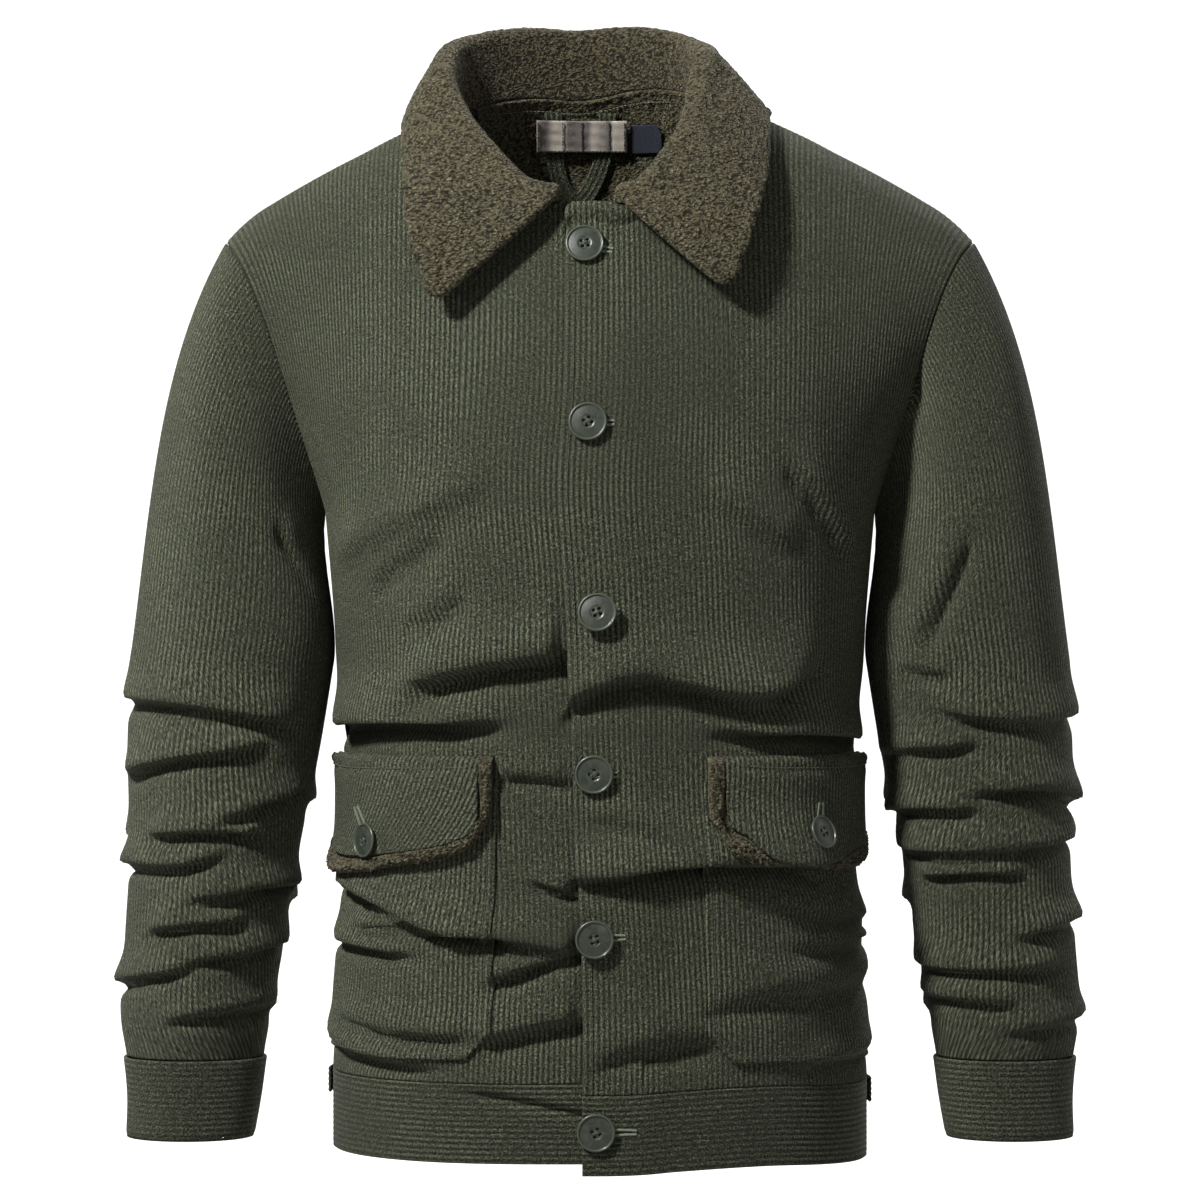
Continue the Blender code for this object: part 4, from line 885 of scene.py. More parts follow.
@dataclass(frozen=True)
class Pile:
    """Curly knitted pile: rough tufts, lighter at their tips, with painted shade between them."""

    deep: Colour = (0.008, 0.007, 0.004)
    middle: Colour = (0.074, 0.066, 0.041)
    tip: Colour = (0.215, 0.194, 0.130)

    def material(self, name: str) -> bpy.types.Material:
        """The finish, with painted shade between the curls that the mesh has and between its own finer
        curls.
        """
        shade = Shader(name, 0.95, Sheen_Weight=0.15, Sheen_Roughness=0.5)
        shade.feed(shade.principled.inputs["Sheen Tint"], (0.70, 0.63, 0.48))
        shade.feed(shade.principled.inputs["Specular IOR Level"], 0.15)
        at = shade.vectors("MULTIPLY", shade.place_3d(), (0.80, 1.0, 1.1))
        nap = shade.node("Attribute", {}, attribute_name="nap").outputs["Fac"]
        fibres = shade.clipped(shade.noise(at, 1100.0, 2.0, 0.5), 0.3, 0.7)
        bent = shade.node("TexNoise", {"Vector": at, "Scale": 340.0, "Detail": 1.0}).outputs["Color"]
        bend = shade.vectors("MULTIPLY", bent, (0.0026, 0.0026, 0.0026))
        cells = {"Vector": shade.vectors("ADD", at, bend), "Scale": 640.0}
        cell = shade.node("TexVoronoi", cells, feature="SMOOTH_F1").outputs["Distance"]
        curls = shade.clipped(cell, 0.62, 0.12)
        hue = shade.noise(at, 45.0, 2.0)
        level = shade.math("ADD", shade.math("MULTIPLY", nap, 0.26), shade.math("MULTIPLY", fibres, 0.20))
        level = shade.math("ADD", level, shade.math("MULTIPLY", curls, 0.62))
        # Painted shade: the colour falls to near black low in the pile and between the curls.
        base = shade.ramp(level, (0.18, self.deep), (0.66, self.middle), (1.0, self.tip))
        tints = {0: hue, 6: (1.06, 0.98, 0.86), 7: (0.94, 1.02, 1.0)}
        tinted = shade.node("Mix", tints, data_type="RGBA").outputs[2]
        shade.colour(shade.vectors("MULTIPLY", base, tinted))
        shade.bump(shade.math("ADD", shade.math("MULTIPLY", fibres, 0.25), curls), 0.0012)
        return shade.material


@dataclass(frozen=True)
class Horn:
    """Glossy moulded button plastic with faint streaks, with a painted highlight on its rim and painted
    shade in its holes.
    """

    dark: Colour = (0.016, 0.020, 0.014)
    light: Colour = (0.034, 0.041, 0.028)
    rim: Colour = (0.046, 0.054, 0.036)

    def material(self, name: str) -> bpy.types.Material:
        """The finish, with a painted highlight on the rim and painted shade in the holes. nap is 1 on the
        rim and 0 in the holes.
        """
        shade = Shader(name, 0.36, Coat_Weight=0.25, Coat_Roughness=0.2)
        nap = shade.node("Attribute", {}, attribute_name="nap").outputs["Fac"]
        streaks = shade.noise(shade.place_3d(), 260.0, 3.0, 1.2)
        face = shade.ramp(streaks, (0.3, self.dark), (0.7, self.light))
        # Painted highlight: the rim is given a paler colour.
        mixed = shade.node("Mix", {0: shade.spread(nap, -1.0, 1.0), 6: face, 7: self.rim}, data_type="RGBA")
        # Painted shade: the colour darkens to 8 % in the holes.
        depth = shade.node("MapRange", {"Value": nap, "From Max": 0.4, "To Min": 0.08}).outputs[0]
        shade.colour(shade.times(mixed.outputs[2], depth))
        shade.bump(streaks, 0.00004)
        return shade.material


@dataclass(frozen=True)
class Thread:
    """Twisted sewing thread."""

    colour: Colour

    def material(self, name: str) -> bpy.types.Material:
        """The finish."""
        shade = Shader(name, 0.6, Sheen_Weight=0.2)
        fuzz = shade.noise(shade.place_3d(), 1500.0, 2.0)
        shade.colour(shade.times(self.colour, shade.spread(fuzz, 0.7, 1.3)))
        shade.bump(fuzz, 0.0002)
        return shade.material


@dataclass(frozen=True)
class Banded:
    """A woven label of upright satin bands, bare of words. Its cloth coordinates run from 0 to 1."""

    bands: tuple[tuple[float, Colour], ...] = (
        (0.02, (0.240, 0.200, 0.170)),
        (0.10, (0.085, 0.070, 0.066)),
        (0.22, (0.480, 0.430, 0.350)),
        (0.29, (0.420, 0.370, 0.310)),
        (0.35, (0.125, 0.105, 0.092)),
        (0.55, (0.130, 0.108, 0.096)),
        (0.62, (0.400, 0.350, 0.300)),
        (0.72, (0.300, 0.260, 0.220)),
        (0.80, (0.105, 0.088, 0.078)),
        (0.86, (0.520, 0.470, 0.390)),
        (0.96, (0.360, 0.310, 0.260)),
    )

    def material(self, name: str) -> bpy.types.Material:
        """The finish."""
        shade = Shader(name, 0.38, Sheen_Weight=0.25, Anisotropic=0.3)
        across, along = shade.cloth()
        stretched = shade.combine(shade.math("MULTIPLY", across, 9.0), shade.math("MULTIPLY", along, 90.0))
        weave = shade.noise(stretched, 4.0)
        wobble = shade.math("ADD", across, shade.spread(weave, -0.006, 0.006))
        shade.colour(shade.times(shade.ramp(wobble, *self.bands), shade.spread(weave, 0.7, 1.15)))
        shade.bump(weave, 0.0003)
        return shade.material


@dataclass(frozen=True)
class Woven:
    """A plain woven tape."""

    colour: Colour = (0.006, 0.010, 0.032)

    def material(self, name: str) -> bpy.types.Material:
        """The finish."""
        shade = Shader(name, 0.7, Sheen_Weight=0.05)
        across, along = shade.cloth()
        slant = shade.math("SINE", shade.math("MULTIPLY", shade.math("ADD", across, along), 420.0))
        shade.colour(shade.times(self.colour, shade.spread(slant, 0.85, 1.25)))
        shade.bump(slant, 0.0001)
        return shade.material


def made_of(finish: object, name: str) -> bpy.types.Material:
    """A field with a finish's material."""
    return field(default_factory=lambda: finish.material(name))


@dataclass
class Finishes:
    """All materials of the jacket."""

    cord: bpy.types.Material = made_of(Corduroy(), "corduroy")
    band: bpy.types.Material = made_of(Corduroy(tint=0.82), "corduroy_band")
    pile: bpy.types.Material = made_of(Pile(), "pile")
    horn: bpy.types.Material = made_of(Horn(), "button")
    label: bpy.types.Material = made_of(Banded(), "label_satin")
    navy: bpy.types.Material = made_of(Woven(), "tab_woven")
    pale: bpy.types.Material = made_of(Thread((0.20, 0.23, 0.165)), "thread_pale")
    olive: bpy.types.Material = made_of(Thread((0.055, 0.060, 0.038)), "thread_olive")
    seam: bpy.types.Material = made_of(Thread((0.080, 0.105, 0.062)), "thread_green")
    black: bpy.types.Material = made_of(Thread((0.012, 0.012, 0.012)), "thread_black")


def dress(piece: bpy.types.Object, finish: bpy.types.Material, slot: str, *nodes: str) -> bpy.types.Object:
    """Gives a piece its finish and body, and the nodes that it stands for."""
    piece.data.materials.append(finish)
    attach(piece, "root")
    if nodes:
        piece.name = f"{nodes[0]}_finished"
        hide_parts(*nodes)
    LOG.info("%s has %d faces", piece.name, len(piece.data.polygons))
    return piece


@dataclass
class Cord:
    """How corduroy is cut and raised."""

    pitch: float = PITCH
    height: float = 0.38
    roll: float = 1.2

    def piece(
        self,
        name: str,
        skin: Skin,
        steps: tuple[int, int] = (3, 5),
        wall: float = WALL,
        dents: Array | float = 0.0,
    ) -> bpy.types.Object:
        """A closed piece of corduroy with raised ribs and rolled edges.

        Args:
            name: the piece's name.
            skin: its outer face.
            steps: rows and columns that the inner face passes over at a time.
            wall: its thickness.
            dents: how far stitching draws each point in.

        Returns:
            The piece.
        """
        phase = skin.rib[:, : skin.points.shape[1]]
        ribs = self.height * (np.sin(math.pi * phase) ** 2) ** 0.6
        away = np.maximum(self.roll - skin.from_edge(), 0.0)
        rolled = self.roll - np.sqrt(np.maximum(self.roll**2 - away**2, 0.0))
        top = skin.raised(ribs - self.height / 2 - rolled - dents)
        under = skin.points + skin.inward * (wall - 0.6 * rolled)[..., None]
        return closed(name, skin, top, under, steps)


def tubes(name: str, paths: list[Array], radius: float, sides: int = 6) -> bpy.types.Object:
    """Closed round strands along paths, as one mesh with round ends.

    Args:
        name: the piece's name.
        paths: the points of each strand.
        radius: the strands' radius.
        sides: the faces round a strand.

    Returns:
        The piece.
    """
    vertices: list[Array] = []
    faces: list[list[int]] = []
    turn = np.linspace(0, 2 * math.pi, sides, endpoint=False)
    for path in paths:
        along = unit(np.gradient(path, axis=0))
        across = unit(np.cross(along, np.array([0.31, 0.87, 0.22])))
        over = np.cross(along, across)
        circle = np.cos(turn)[:, None, None] * across + np.sin(turn)[:, None, None] * over
        size = np.full(len(path), radius)
        size[[0, -1]] *= 0.55
        start = sum(len(block) for block in vertices)
        vertices.append((path + circle * size[:, None]).transpose(1, 0, 2).reshape(-1, 3))
        for i in range(len(path) - 1):
            for k in range(sides):
                a, b = start + i * sides + k, start + i * sides + (k + 1) % sides
                faces.append([a, b, b + sides, a + sides])
        faces.append([start + k for k in reversed(range(sides))])
        faces.append([start + (len(path) - 1) * sides + k for k in range(sides)])
    mesh = bpy.data.meshes.new(name)
    mesh.from_pydata((np.concatenate(vertices) * MM).tolist(), [], faces)
    mesh.shade_smooth()
    return place(name, mesh)


def stitches(
    name: str,
    lines: list[tuple[Array, Array]],
    length: float = 2.4,
    pitch: float = 3.1,
    radius: float = 0.26,
) -> bpy.types.Object:
    """Running stitches along lines of points, each with the directions out of the cloth."""
    paths = []
    for points, outward in lines:
        run = lengths(points)
        for start in np.arange(0.6, run[-1] - length, pitch):
            at = start + length * np.array([0.0, 0.2, 0.5, 0.8, 1.0])
            spots = np.stack([np.interp(at, run, points[:, k]) for k in range(3)], -1)
            ways = np.stack([np.interp(at, run, outward[:, k]) for k in range(3)], -1)
            paths.append(spots + ways * np.array([-0.5, 0.0, 0.1, 0.0, -0.5])[:, None])
    return tubes(name, paths, radius)


@dataclass
class Body:
    """The two fronts and the back, sewn at the shoulders and sides."""

    cord: Cord
    stitch_in: float = 6.5
    skins: dict[str, Skin] = field(default_factory=dict)
    tops: dict[str, tuple[Array, Array]] = field(default_factory=dict)

    def levels(self, behind: bool) -> list[float]:
        """The rows, closer together where the cloth is gathered."""
        low = runs(FORM.hem_z + SEAM, -334.0, 6.4 if behind else 3.0)[:-3]
        heights = [*low, *np.arange(-334.0, FORM.armpit_z, 6.0)]
        upper = [*np.linspace(1.0, 2.0, 37), 1.9905, 1.9945, 1.9975]
        if not behind:
            upper = [level for level in upper if not 1.87 < level < 1.99]
            upper += list(np.arange(1.875, 1.989, 0.0095))
        return [FORM.level_of(z) for z in heights] + sorted(upper)

    def skin(self, side: int) -> Skin:
        """The outer face of one panel."""
        panel = Panel(side)
        levels = self.levels(side == 0)
        fine = self.cord.pitch / 4
        if side:
            whole = max(FORM.armhole_out(level - 1, False) - SEAM - panel.edge(level) for level in levels)
            ribs = np.arange(0, whole, fine)
            ribs = np.append(ribs[:-1], whole)
        else:
            half = np.arange(fine, FORM.quarters[1] - SEAM, fine)
            half[-1] = FORM.quarters[1] - SEAM
            ribs = np.concatenate([-half[::-1], [0.0], half])
        points, outward = stacked(panel.row(panel.across(level, ribs), level) for level in levels)
        points[-1, :, 1] += SEAM if side == 0 else -SEAM
        run = lengths(points[:, len(ribs) // 2])[:, None]
        rib = np.broadcast_to(ribs / self.cord.pitch, points.shape[:2])
        run = np.broadcast_to(run / self.cord.pitch, points.shape[:2])
        name = {1: "front_right", -1: "front_left", 0: "back"}[side]
        self.tops[name] = (panel.across(2.0, ribs), points[-1])
        return Skin(points, -outward, rib, run)

    def crease(self, skin: Skin) -> Array:
        """How far the stitching and the crease under the neck draw in the front that laps over."""
        x = skin.points[..., 0]
        below_top = lengths(skin.points[::-1])[::-1]
        near = ease(x, 36.0, 14.0)
        dents = 0.55 * bell(skin.rib * self.cord.pitch, self.stitch_in, 0.9)
        dents = dents + 3.6 * near * bell(below_top - 14.0 - 1.2 * np.sin(x / 7.0), 0.0, 1.7)
        return dents - 3.0 * near * bell(below_top, 7.0, 4.6)

    def build(self, finishes: Finishes) -> None:
        """Makes the three panels and the front's topstitching."""
        left, right, back = self.skin(-1), self.skin(1), self.skin(0)
        right = right.laid_clear(WALL, left.tree(0.3), 0.4, slice(None), slice(0, 48))
        self.tops["front_right"] = (self.tops["front_right"][0], right.points[-1])
        self.skins = {"front_left": left, "front_right": right, "back": back}
        for name, skin in self.skins.items():
            dents = self.crease(skin) if name == "front_right" else 0.0
            piece = dress(self.cord.piece(name, skin, dents=dents), finishes.cord, "corduroy", name)
        column = int(round(self.stitch_in / (self.cord.pitch / 4)))
        line = right.raised(np.full(right.points.shape[:2], 0.1))[:, column], -right.inward[:, column]
        dress(stitches("front_topstitch", [line]), finishes.olive, "corduroy")


@dataclass
class HemBand:
    """The hem band in three lengths, its ribs running round the body."""

    cord: Cord
    depth: float = 50.0
    step: float = 5.5
    skins: dict[str, Skin] = field(default_factory=dict)

    def skin(self, side: int) -> Skin:
        """The outer face of one length."""
        panel = Panel(side)
        drops = np.append(np.arange(self.depth, SEAM, -self.cord.pitch / 5), SEAM)
        if side:
            outs = runs(panel.edge(0.0), FORM.quarters[0] - SEAM, self.step)
        else:
            outs = runs(-FORM.quarters[1] + SEAM, FORM.quarters[1] - SEAM, self.step)
        points, outward = stacked(panel.row(outs, 0.0, drop) for drop in drops)
        rib = np.broadcast_to(drops[:, None] / self.cord.pitch + 0.3, points.shape[:2])
        run = np.broadcast_to(outs / self.cord.pitch, points.shape[:2])
        return Skin(points, -outward, rib, run)

    def build(self, finishes: Finishes) -> None:
        """Makes the three lengths, the right one laid over the left one."""
        left, right, back = self.skin(-1), self.skin(1), self.skin(0)
        right = right.laid_clear(WALL, left.tree(0.3), 0.4, slice(None), slice(0, 14))
        self.skins = {"hem_front_left": left, "hem_front_right": right, "hem_back": back}
        for name, skin in self.skins.items():
            piece = dress(self.cord.piece(name, skin, steps=(6, 2)), finishes.band, "corduroy_band", name)


@dataclass
class Sleeves:
    """The sleeves, each a tube with an underarm seam, and the cuff bands."""

    cord: Cord
    top_z: float = -330.0
    cuff_seam_z: float = -586.5
    cuff_z: float = -638.0
    girth_radius: float = 62.0
    columns: int = 404
    row_step: float = 3.0
    armhole_rows: int = 71
    allowance: Table = field(
        default_factory=lambda: Table(
            "across upright",
            (6.0, 3.6),
            (3.0, 3.5),
            (0.9, 3.3),
            (0.0, 2.6),
            (-0.1, 1.5),
            (-0.25, 0.5),
        )
    )

    def armhole(self, side: int, angles: Array) -> tuple[Array, Array, Array]:
        """Points where the sleeve starts, the ways that it leaves, and the body's ways across and out."""
        rises = np.linspace(0.0, 1.0, self.armhole_rows)
        halves = []
        for behind in (False, True):
            panel = Panel(0 if behind else side)
            sign = side if behind else 1
            outs = [np.array([sign * FORM.armhole_out(rise, behind)]) for rise in rises]
            rows = [panel.row(out, 1 + rise) for out, rise in zip(outs, rises)]
            halves.append([(point[0], normal[0]) for point, normal in rows])
        points, normals = stacked(halves[0][::-1] + halves[1][1:-1])
        steps = np.linalg.norm(np.roll(points, -1, axis=0) - points, axis=1)
        low = self.armhole_rows - 1
        at = np.empty(len(points))
        at[: low + 1] = math.pi * np.concatenate([[0], np.cumsum(steps[:low])]) / steps[:low].sum()
        at[low:] = math.pi * (1 + np.concatenate([[0], np.cumsum(steps[low:-1])]) / steps[low:].sum())
        along = unit(np.roll(points, -1, axis=0) - np.roll(points, 1, axis=0)) * side
        away = np.minimum(at, 2 * math.pi - at)
        spread = 1 - ease(away, 1.9, math.pi)
        leave = [side * (0.1 + 0.36 * spread), -0.35 * spread * np.sin(at), np.full_like(at, -0.8)]
        leave = unit(np.stack(leave, -1))
        across = unit(np.cross(along, normals))
        starts = points + 2 * SEAM * unit(leave - across)
        turn = angles % (2 * math.pi)

        def spun(values: Array) -> Array:
            return np.stack([np.interp(turn, at, values[:, k], period=2 * math.pi) for k in range(3)], -1)

        return spun(starts), spun(leave), np.stack([spun(across), spun(normals)])

    def section(self, angle: Array, z: float, side: int) -> Array:
        """Points of a level section."""
        x = SLEEVE.read("centre", z) + SLEEVE.read("half_width", z) * np.cos(angle)
        y = -SLEEVE.read("forward", z) - SLEEVE.read("half_depth", z) * np.sin(angle)
        return np.stack([side * x, y, np.broadcast_to(z, x.shape)], axis=-1)

    def length(self, rear: bool) -> Callable[[float, float], float]:
        """A function for the length round a sleeve to a place seen at x, from the front or the rear."""

        def to_length(x: float, z: float) -> float:
            z = max(min(z, self.top_z), self.cuff_z)
            share = float((abs(x) - SLEEVE.read("centre", z)) / SLEEVE.read("half_width", z))
            angle = math.acos(max(-1.0, min(1.0, share)))
            angle += max(0.0, -share - 1) - max(0.0, share - 1)
            return self.girth_radius * (-angle if rear else angle)

        return to_length

    def relief(self, angle: Array, z: Array, side: int) -> tuple[Array, Array]:
        """The folds of a sleeve."""
        folds = SLEEVE_RIGHT_FOLDS if side > 0 else SLEEVE_LEFT_FOLDS
        turn = angle % (2 * math.pi)
        at, period = turn * self.girth_radius, 2 * math.pi * self.girth_radius
        front = fold_relief(folds, self.length(False), at, z, period)
        rear = fold_relief(SLEEVE_REAR_FOLDS, self.length(True), at, z, period)
        inside = ease(np.abs(turn - math.pi), 1.1, 0.5) * ease(z, -420, -370)
        calm = (1 - 0.85 * inside) * ease(z, -589, -570) * ease(z, -90, -130)
        return (front[0] + rear[0]) * calm, (front[1] + rear[1]) * calm

    def skin(self, side: int) -> Skin:
        """The outer face of a sleeve. Its ribs run straight down and end at the underarm seam."""
        angles = np.linspace(-math.pi, math.pi, self.columns, endpoint=False)
        start, leaving, (across, upright) = self.armhole(side, angles)
        end = self.section(angles, self.top_z, side)
        reach = np.linalg.norm(end - start, axis=-1, keepdims=True)
        leave = leaving * reach
        outer = 1 - ease(np.abs(angles), 1.9, math.pi)
        arrive = np.stack([side * (0.06 + 0.08 * outer), 0 * angles, -1 + 0 * angles], axis=-1) * reach
        rows = [start + across * row["across"] - upright * row["upright"] for row in self.allowance.rows()]
        for t in [0.003, 0.008, 0.016, *np.linspace(0.03, 0.97, 32)]:
            ways = (1 + 2 * t) * (1 - t) ** 2, t * (1 - t) ** 2, t * t * (3 - 2 * t), t * t * (t - 1)
            rows.append(ways[0] * start + ways[1] * leave + ways[2] * end + ways[3] * arrive)
        heights = runs(self.top_z, self.cuff_seam_z + SEAM, self.row_step)[3:]
        rows += [self.section(angles, z, side) for z in heights]
        grid = np.array(rows)
        normals = grid_normals(grid, tube=True) * side
        relief, down = self.relief(angles[None, :], grid[..., 2], side)
        points = grid + normals * relief[..., None]
        points[..., 2] -= down
        ring = np.concatenate([grid, grid[:, :1]], axis=1)
        around = lengths(ring, 1)
        middle = self.columns // 2
        rib = (around - around[:, middle : middle + 1]) / self.cord.pitch
        return Skin(points, -normals, rib, lengths(ring) / self.cord.pitch, tube=True)

    def cuff(self, side: int) -> Skin:
        """The outer face of a cuff band."""
        angles = np.linspace(-math.pi, math.pi, 72, endpoint=False)
        heights = np.arange(self.cuff_z, self.cuff_seam_z - SEAM, self.cord.pitch / 5)
        band = np.array([self.section(angles, z, side) for z in (*heights, self.cuff_seam_z - SEAM)])
        normals = unit(grid_normals(band, tube=True) * side * (1, 1, 0))
        around = np.linspace(0, 78, len(angles) + 1)
        rib = (band[:, :1, 2] - self.cuff_z) / self.cord.pitch + 0 * around
        return Skin(band, -normals, rib, np.broadcast_to(around, rib.shape), tube=True)

    def build(self, finishes: Finishes) -> None:
        """Makes both sleeves and both cuffs."""
        for side in Side:
            name = f"sleeve_{side.word}"
            skin = self.skin(side.value)
            piece = dress(self.cord.piece(name, skin, steps=(3, 4)), finishes.cord, "corduroy", name)
            name = f"cuff_{side.word}"
            made = self.cord.piece(name, self.cuff(side.value), steps=(6, 2))
            piece = dress(made, finishes.band, "corduroy_band", name)


class Sampler:
    """A front panel's smooth surface, read at any place below the chest."""

    across: float = 1.5
    up: float = 2.0

    def __init__(self, side: int, low: float = -596.0, high: float = -380.0) -> None:
        """Works out the surface on a regular grid of places and heights."""
        panel = Panel(side)
        self.outs = np.arange(-40.0, 262.0, self.across)
        self.heights = np.arange(low, high + self.up, self.up)
        rows = (panel.row(self.outs, FORM.level_of(z)) for z in self.heights)
        self.points, self.normals = stacked(rows)

    def at(self, out: Array, z: Array) -> tuple[Array, Array]:
        """Points and outward directions at places and heights."""
        u = np.clip((out - self.outs[0]) / self.across, 0, len(self.outs) - 1.001)
        v = np.clip((z - self.heights[0]) / self.up, 0, len(self.heights) - 1.001)
        i, j = v.astype(int), u.astype(int)
        a, b = (v - i)[..., None], (u - j)[..., None]

        def mixed(grid: Array) -> Array:
            low = grid[i, j] * (1 - b) + grid[i, j + 1] * b
            high = grid[i + 1, j] * (1 - b) + grid[i + 1, j + 1] * b
            return low * (1 - a) + high * a

        return mixed(self.points), unit(mixed(self.normals))


@dataclass
class Pockets:
    """Patch pockets with a clipped lower corner, and their flaps backed with pile."""

    cord: Cord
    top: float = -406.0
    clip: float = -561.0
    bottom: float = -580.0
    inner: float = 69.0
    clip_out: float = 87.0
    outer: float = 247.0
    flap_top: float = -390.0
    flap_inner: float = 75.0
    flap_pile: float = 4.0
    hover: float = 4.2
    reach: float = 4.5
    show: dict[Side, float] = field(default_factory=lambda: {Side.LEFT: 3.5, Side.RIGHT: 6.0})
    rounder: dict[Side, float] = field(default_factory=lambda: {Side.LEFT: 0.0, Side.RIGHT: 7.0})
    stitch_in: float = 5.0
    lean: dict[Side, float] = field(default_factory=lambda: {Side.LEFT: -0.55, Side.RIGHT: 0.10})
    fall: float = 66.0
    seam_in: float = 8.0
    outline: Table = field(
        default_factory=lambda: Table(
            "around drop",
            (75.0, 38.0),
            (82.0, 50.0),
            (92.0, 56.0),
            (110.0, 61.0),
            (135.0, 65.0),
            (165.0, 68.0),
            (195.0, 68.0),
            (225.0, 64.0),
            (247.0, 58.0),
        )
    )
    skins: dict[str, Skin] = field(default_factory=dict)

    def pocket(self, sampler: Sampler) -> Skin:
        """The outer face of a pocket."""
        outs = np.append(np.arange(self.inner, self.outer - 0.4, self.cord.pitch / 4), self.outer)
        shares = runs(0.0, 1.0, 3.6 / (self.top - self.bottom), (0.003, 0.0065, 0.011))
        slope = (self.clip - self.bottom) / (self.clip_out - self.inner)
        floor = self.bottom + np.maximum(0.0, (self.clip_out - outs) * slope)
        z = floor + shares[:, None] * (self.top - floor)
        points, normals = sampler.at(np.broadcast_to(outs, z.shape), z)
        rib = np.broadcast_to((outs - self.inner) / self.cord.pitch + 0.45, z.shape)
        return Skin(points + normals * (REST + WALL), -normals, rib, (z - self.bottom) / self.cord.pitch)

    def drop(self, side: Side, out: Array, share: Array, extra: float) -> Array:
        """How far under its top a place of the flap lies."""
        fall = self.outline.read("drop", out) + extra - 1.2 * np.maximum(self.flap_inner - out, 0)
        return share * (fall - self.rounder[side] * bell(out, 90, 13))

    def flap_skin(
        self,
        side: Side,
        sampler: Sampler,
        first: float,
        extra: float,
        lift: float,
        step: float,
        lean: float,
    ) -> Skin:
        """A face over the pocket, from its sizes and how far above the panel it is.

        Args:
            side: the flap's side.
            sampler: the front panel.
            first: the innermost place.
            extra: how much longer than the flap it is.
            lift: its height over the flap's hollow.
            step: the space between rows.
            lean: how much the ribs slant.

        Returns:
            The face.
        """
        fine = self.cord.pitch / (5 if lean else 4)
        outs = np.append(np.arange(first, self.outer - 0.4, fine), self.outer)
        shares = runs(1.0, 0.0, step / self.fall, (0.008, 0.018, 0.03))
        drops = self.drop(side, outs[None, :], shares[:, None], extra)
        around = np.broadcast_to(outs, drops.shape)
        points, normals = sampler.at(around, self.flap_top - drops)
        swell = 1.6 * bell(drops, 3.0, 5.0)
        hover = REST + self.hover * ease(shares, 0.0, 0.27)[:, None] + lift + swell
        slant = lean * drops * (0.35 + 0.65 * drops / self.fall)
        rib = (around + slant) / self.cord.pitch
        return Skin(points + normals * hover[..., None], -normals, rib, -drops / self.cord.pitch)

    def build(self, finishes: Finishes) -> None:
        """Makes both pockets and flaps with their stitching."""
        for side in Side:
            sampler = Sampler(side.value)
            self.patch(side, sampler, finishes)
            self.flap(side, sampler, finishes)
            self.backing(side, sampler, finishes)

    def patch(self, side: Side, sampler: Sampler, finishes: Finishes) -> None:
        """Makes a pocket and its stitching."""
        name = f"pocket_{side.word}"
        skin = self.skins[name] = self.pocket(sampler)
        low, edge = skin.run * self.cord.pitch, skin.rib * self.cord.pitch
        inside = np.minimum(low - low[0], edge - edge[:, :1])
        inside = np.minimum(inside, edge[:, -1:] - edge)
        dents = 0.5 * bell(inside, self.stitch_in, 0.9)
        made = self.cord.piece(name, skin, wall=1.9, dents=dents)
        piece = dress(made, finishes.cord, "corduroy", name)
        column, row = 6, 4
        upright, level = (slice(row, -1), column), (row, slice(column, -column))
        lines = [(skin.points[place], -skin.inward[place]) for place in (upright, level)]
        dress(stitches(f"{name}_topstitch", lines), finishes.olive, "corduroy")

    def flap(self, side: Side, sampler: Sampler, finishes: Finishes) -> None:
        """Makes a flap of corduroy and its stitching."""
        name = f"flap_{side.word}"
        first, short = self.flap_inner + self.show[side], -self.show[side]
        lift = self.flap_pile + REST + WALL
        skin = self.flap_skin(side, sampler, first, short, lift, 2.9, self.lean[side])
        self.skins[name] = skin
        drops = -skin.run * self.cord.pitch
        dents = 0.9 * bell(drops, self.seam_in, 1.6) + 1.2 * bell(drops, 0.0, 1.8)
        made = self.cord.piece(name, skin, steps=(2, 5), wall=2.1, dents=dents)
        piece = dress(made, finishes.cord, "corduroy", name)
        row = int(np.argmin(np.abs(drops[:, 100] - self.seam_in)))
        line = skin.points[row], -skin.inward[row]
        dress(stitches(f"{name}_topstitch", [line]), finishes.olive, "corduroy")

    def backing(self, side: Side, sampler: Sampler, finishes: Finishes) -> None:
        """Makes the flap's pile backing, which shows as a furry lip below it and on its inner side."""
        first = self.flap_inner - self.reach
        skin = self.flap_skin(side, sampler, first, self.reach, self.flap_pile, 0.85, 0.0)
        count = len(skin.points)
        kept = [*range(20), *range(20, count - 4, 3), *range(count - 4, count)]
        skin = Skin(skin.points[kept], skin.inward[kept], skin.rib[kept], skin.run[kept])
        name = f"flap_pile_{side.word}"
        nap = curls(skin.points, 2.3, 7.0 + side.value)
        low = lengths(skin.points)
        away = np.minimum(low, lengths(skin.points, 1))
        shown = self.reach + self.show[side]
        lip = ease(away, shown + 0.7, shown - 0.5) * ease(low[-1] - low, 0.5, 4.0)
        rolled = 2.6 * ease(away, 2.2, 0.0) + 1.6 * ease(low[-1] - low, 3.0, 0.0)
        top = skin.raised(lip * (2.4 * nap + 1.9) - rolled - 0.35 * (1 - lip))
        frill = curls(skin.points, 2.6, 19.0 + side.value) - 0.45
        out = -unit(np.gradient(skin.points, axis=0)) * ease(away, 4.0, 0.0)[..., None]
        top = top - out * (frill * 2.8)[..., None]
        under = skin.points + skin.inward * (self.flap_pile - 0.8 * ease(away, 2.0, 0.0))[..., None]
        piece = dress(closed(name, skin, top, under, (2, 2), nap), finishes.pile, "pile", name)


